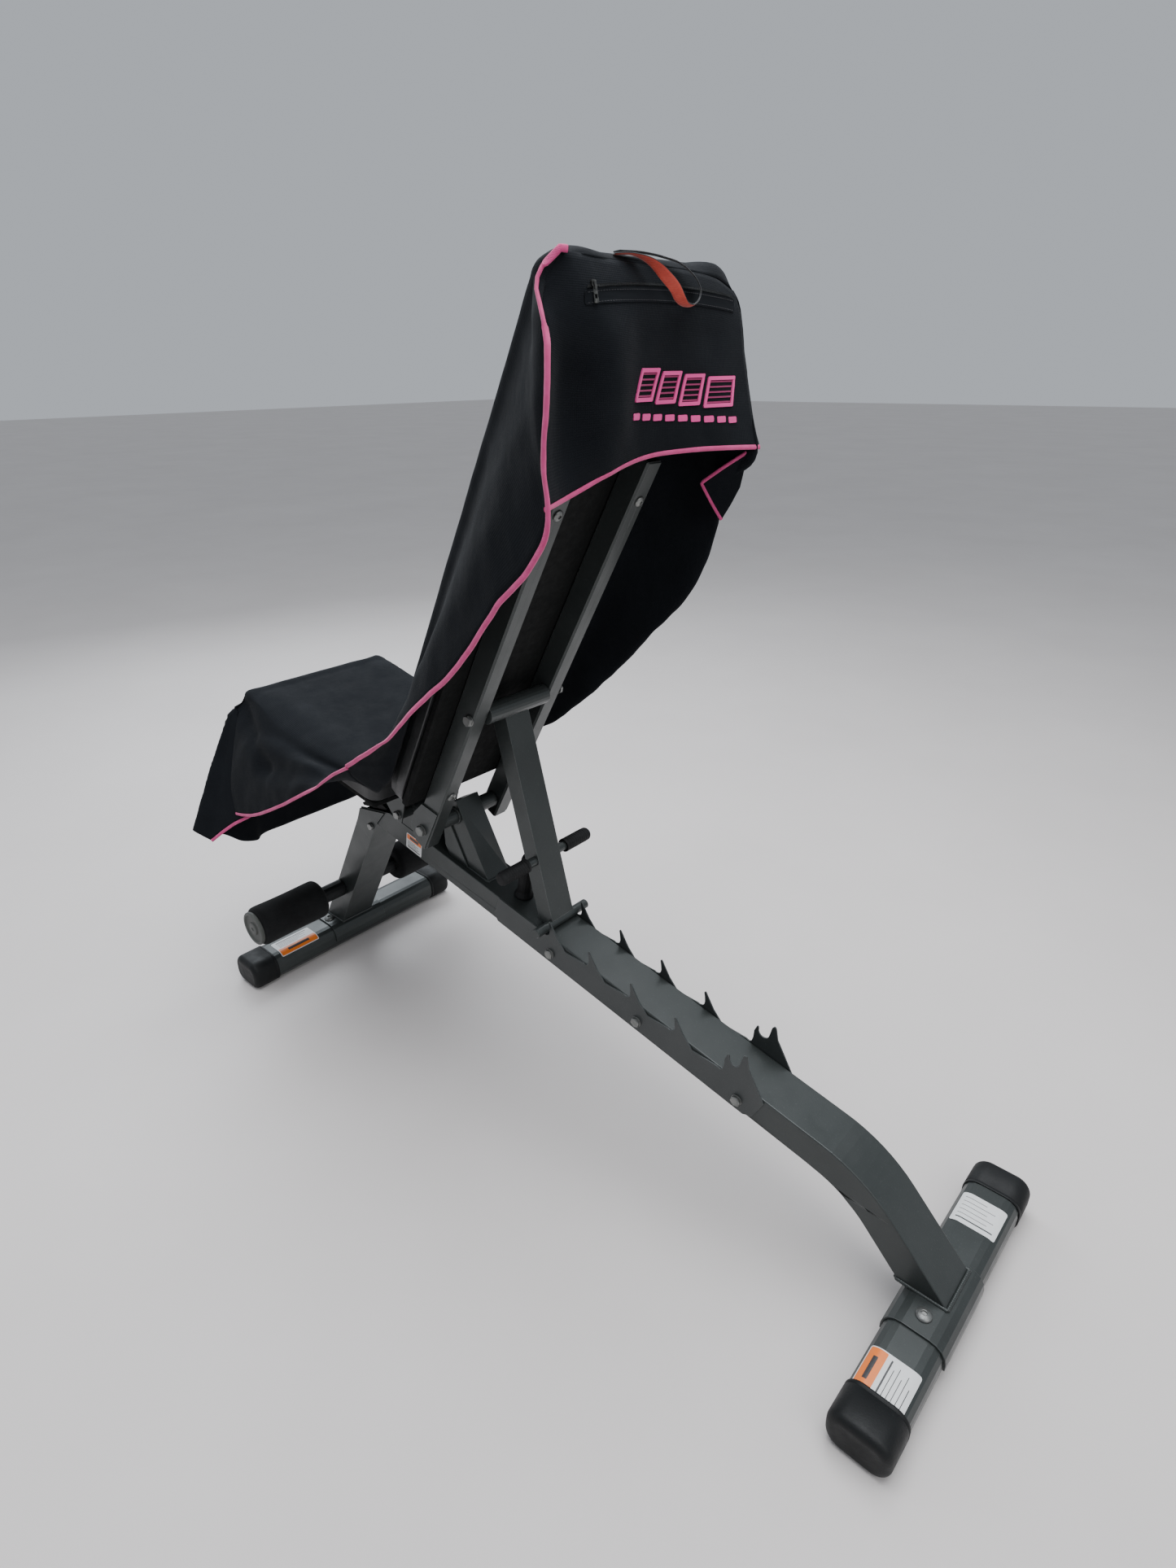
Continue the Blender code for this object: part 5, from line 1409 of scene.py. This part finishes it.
# the loop's path, and its width's direction at each point
STRAP_ROUTE = mm(((174, -70, 1294.5), (187, -52, 1294.5), (201, -36, 1286.5), (207, -20, 1274),
    (207.5, -4, 1264), (206, 8, 1254.5), (205, 19, 1249), (206, 31, 1248.5), (207, 42, 1254.5),
    (207, 46, 1264), (204, 43, 1273.5), (199, 35, 1282.5), (193, 24, 1290), (186, 4, 1295),
    (180, -26, 1298), (174, -64, 1297.5)))
STRAP_ACROSS = ((0.61, -0.79, 0.02), (0.61, -0.76, 0.1), (0.66, -0.42, 0.46), (0.62, 0.1, 0.66),
    (0.61, 0.36, 0.62), (0.66, -0.18, 0.5), (0.63, -0.66, 0.26), (0.61, -0.79, 0.0), (0.61, -0.79, -0.06),
    (0.61, -0.79, -0.06), (0.61, -0.79, -0.04), (0.61, -0.79, 0.0), (0.61, -0.79, 0.0), (0.61, -0.79, 0.0),
    (0.61, -0.79, 0.0), (0.61, -0.79, 0.02))
# its cross-section, as shares of its half width and of its thickness
STRAP_OUTLINE = ((-1.0, 0.0), (-0.95, 0.5), (-0.5, 0.62), (0.0, 0.66), (0.5, 0.62), (0.95, 0.5), (1.0, 0.0),
                 (0.95, -0.5), (0.5, -0.62), (0.0, -0.66), (-0.5, -0.62), (-0.95, -0.5))


def hang_loop():
    """A narrow ribbon sewn to the hood's top at both ends, dark outside and lined inside, with one twist."""
    control = np.asarray(STRAP_ROUTE)
    down = chords(control[:, None])
    dense = np.linspace(0, down[-1], 90)
    outline = [(a * 0.0065, b * 0.0011) for a, b in STRAP_OUTLINE]
    bm = bmesh.new()
    route, across = spline(control, down, dense), spline(STRAP_ACROSS, down, dense)
    ribbon(bm, route, across, dense, outline, 0.0022, lined=(1, 2, 3, 4))
    return piece("hang_loop", bm, STRAP, LINING, smooth=60.0)


# ------------------------------------------------------------------ blank labels
FOOT_CORNER = 0.022
PAPER, BAND, MARK = 0.0005, 0.00062, 0.00072       # heights of a label's paper, its band and the mark on it
LINE_ENDS = (0.9, 0.74, 0.84, 0.66, 0.8, 0.58)     # how far each blank line runs


def foot_skin(node):
    """Places (across, along, height) on a foot tube's rounded top."""
    low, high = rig.box(node)
    middle, flat = (low.x + high.x) / 2, (high.x - low.x) / 2 - FOOT_CORNER

    def place(u, v, height):
        over = abs(u - middle) - flat
        if over <= 0:
            return Vector((u, v, high.z + height))
        turn = min(over / FOOT_CORNER, 1.4)
        reach = FOOT_CORNER + height
        return Vector((middle + math.copysign(flat + reach * math.sin(turn), u - middle), v,
                       high.z - FOOT_CORNER + reach * math.cos(turn)))

    return place


def label(name, place, u, v, band, lines_along_v=True):
    """A sticker with a coloured band over the share band of u, and blank bars where its lines would be."""
    bm = bmesh.new()
    patch(bm, place, u, v, 0.003, 0.0002, PAPER, 0, 18)
    wide, tall = u[1] - u[0], v[1] - v[0]
    rim = 0.0016
    start, end = 0.08, 0.92
    if band:
        edges = (max(u[0] + wide * band[0], u[0] + rim), min(u[0] + wide * band[1], u[1] - rim))
        patch(bm, place, edges, (v[0] + rim, v[1] - rim), 0.0018, PAPER, BAND, 1, 10)
        bar = (v[0] + tall * 0.22, v[1] - tall * 0.22)
        patch(bm, place, about(sum(edges) / 2, 0.003), bar, 0.0008, BAND, MARK, 2, 4)
        start, end = (band[1] + 0.06, 0.94) if band[0] < 0.3 else (0.08, band[0] - 0.06)
    for k, run in enumerate(LINE_ENDS):
        half = 0.0011 if k == 0 else 0.00045
        share = start + (end - start) * (k + 0.5) / len(LINE_ENDS)
        if lines_along_v:
            across, along, steps = about(u[0] + wide * share, half), (v[0] + tall * 0.1, v[0] + tall * run), 3
        else:
            across, along = (u[0] + wide * 0.1, u[0] + wide * run), about(v[0] + tall * share, half)
            steps = 12
        patch(bm, place, across, along, 0.0002, PAPER, 0.0006, 2, steps)
    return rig.ride(piece(name, bm, WHITE, ORANGE, INK), "frame")


def spine_side(u, v, height):
    """u is above the spine's top edge and v along the spine, on its left side."""
    c, k = math.cos(SPINE_SLOPE), math.sin(SPINE_SLOPE)
    return Vector((v * c + u * k, -SPINE_HALF - height, spine_top(0.0) - v * k + u * c))


rear_skin, front_skin = foot_skin("rear_foot_tube"), foot_skin("front_foot_tube")
label("rear_label_left", rear_skin, (0.665, 0.733), (-0.2, -0.138), (0.0, 0.36))
label("rear_label_right", rear_skin, (0.668, 0.733), (0.108, 0.168), None, False)
label("front_label", front_skin, (-0.695, -0.645), (-0.193, -0.103), (0.58, 1.0))
label("spine_label", spine_side, (-0.047, -0.013), (-0.37, -0.325), (0.62, 1.0))


# the hood's far lower corner, tucked back: corners at the hood, at its tip, below and behind
TUCK = mm((((206, 167, 1082), (199, 174, 1060), (190, 180, 1036)), ((176, 158, 1062), (174, 166, 1040),
    (178, 179, 1013)), ((147, 150, 1041), (156, 162, 1016), (166, 175, 991))))


def tucked_corner():
    grid = surface(TUCK, 0.004)
    bm = bmesh.new()
    grid_mesh(bm, grid, bm.loops.layers.uv.new("cloth"))
    made = piece("tucked_corner", bm, TOWEL, smooth=70.0)
    thicken(made)
    hem = np.concatenate([grid[:, 0], grid[-1, 1:]])
    inside = np.concatenate([grid[:, 1], grid[-2, 1:]])
    return made, binding("tucked_corner_binding", hem, hem - inside, 0.005, 0.0036)


for made in (*tucked_corner(), sewn_mark(), zip_placket(), zip_teeth(), zip_slider(), hang_loop()):
    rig.ride(made, "backrest")
    back_trims.append(made)

for made, trims, (a, b), reach in ((seat_towel, seat_trims, ("seat", "frame"), SEAT_BLEND),
                                   (back_towel, back_trims, ("frame", "backrest"), BACK_BLEND)):
    for item in (made, *trims):
        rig.slot(item, "towel_cloth")
        if item.name not in RIGID_TRIMS:
            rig.blend(item, a, b, **reach)
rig.replaces(seat_towel, "seat_cover")
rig.replaces(back_towel, "back_cover")

seat_area = area_of(seat_grid)
back_area = area_of(back_grid) + area_of(panel_grid)
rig.sheet(seat_towel, flat=(0.83, 0.78), held="draped", rests_on=["seat_pad_soft"], area=seat_area,
         with_pieces=seat_trims)
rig.sheet(back_towel, flat=(0.77, 1.21), held="draped", rests_on=["back_pad_soft", "back_board"],
         area=back_area, with_pieces=back_trims)

box_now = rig.bounds()
with open("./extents.json", "w") as f:
    json.dump({"cad": [list(v) for v in cad_box], "visual": [list(v) for v in box_now]}, f)
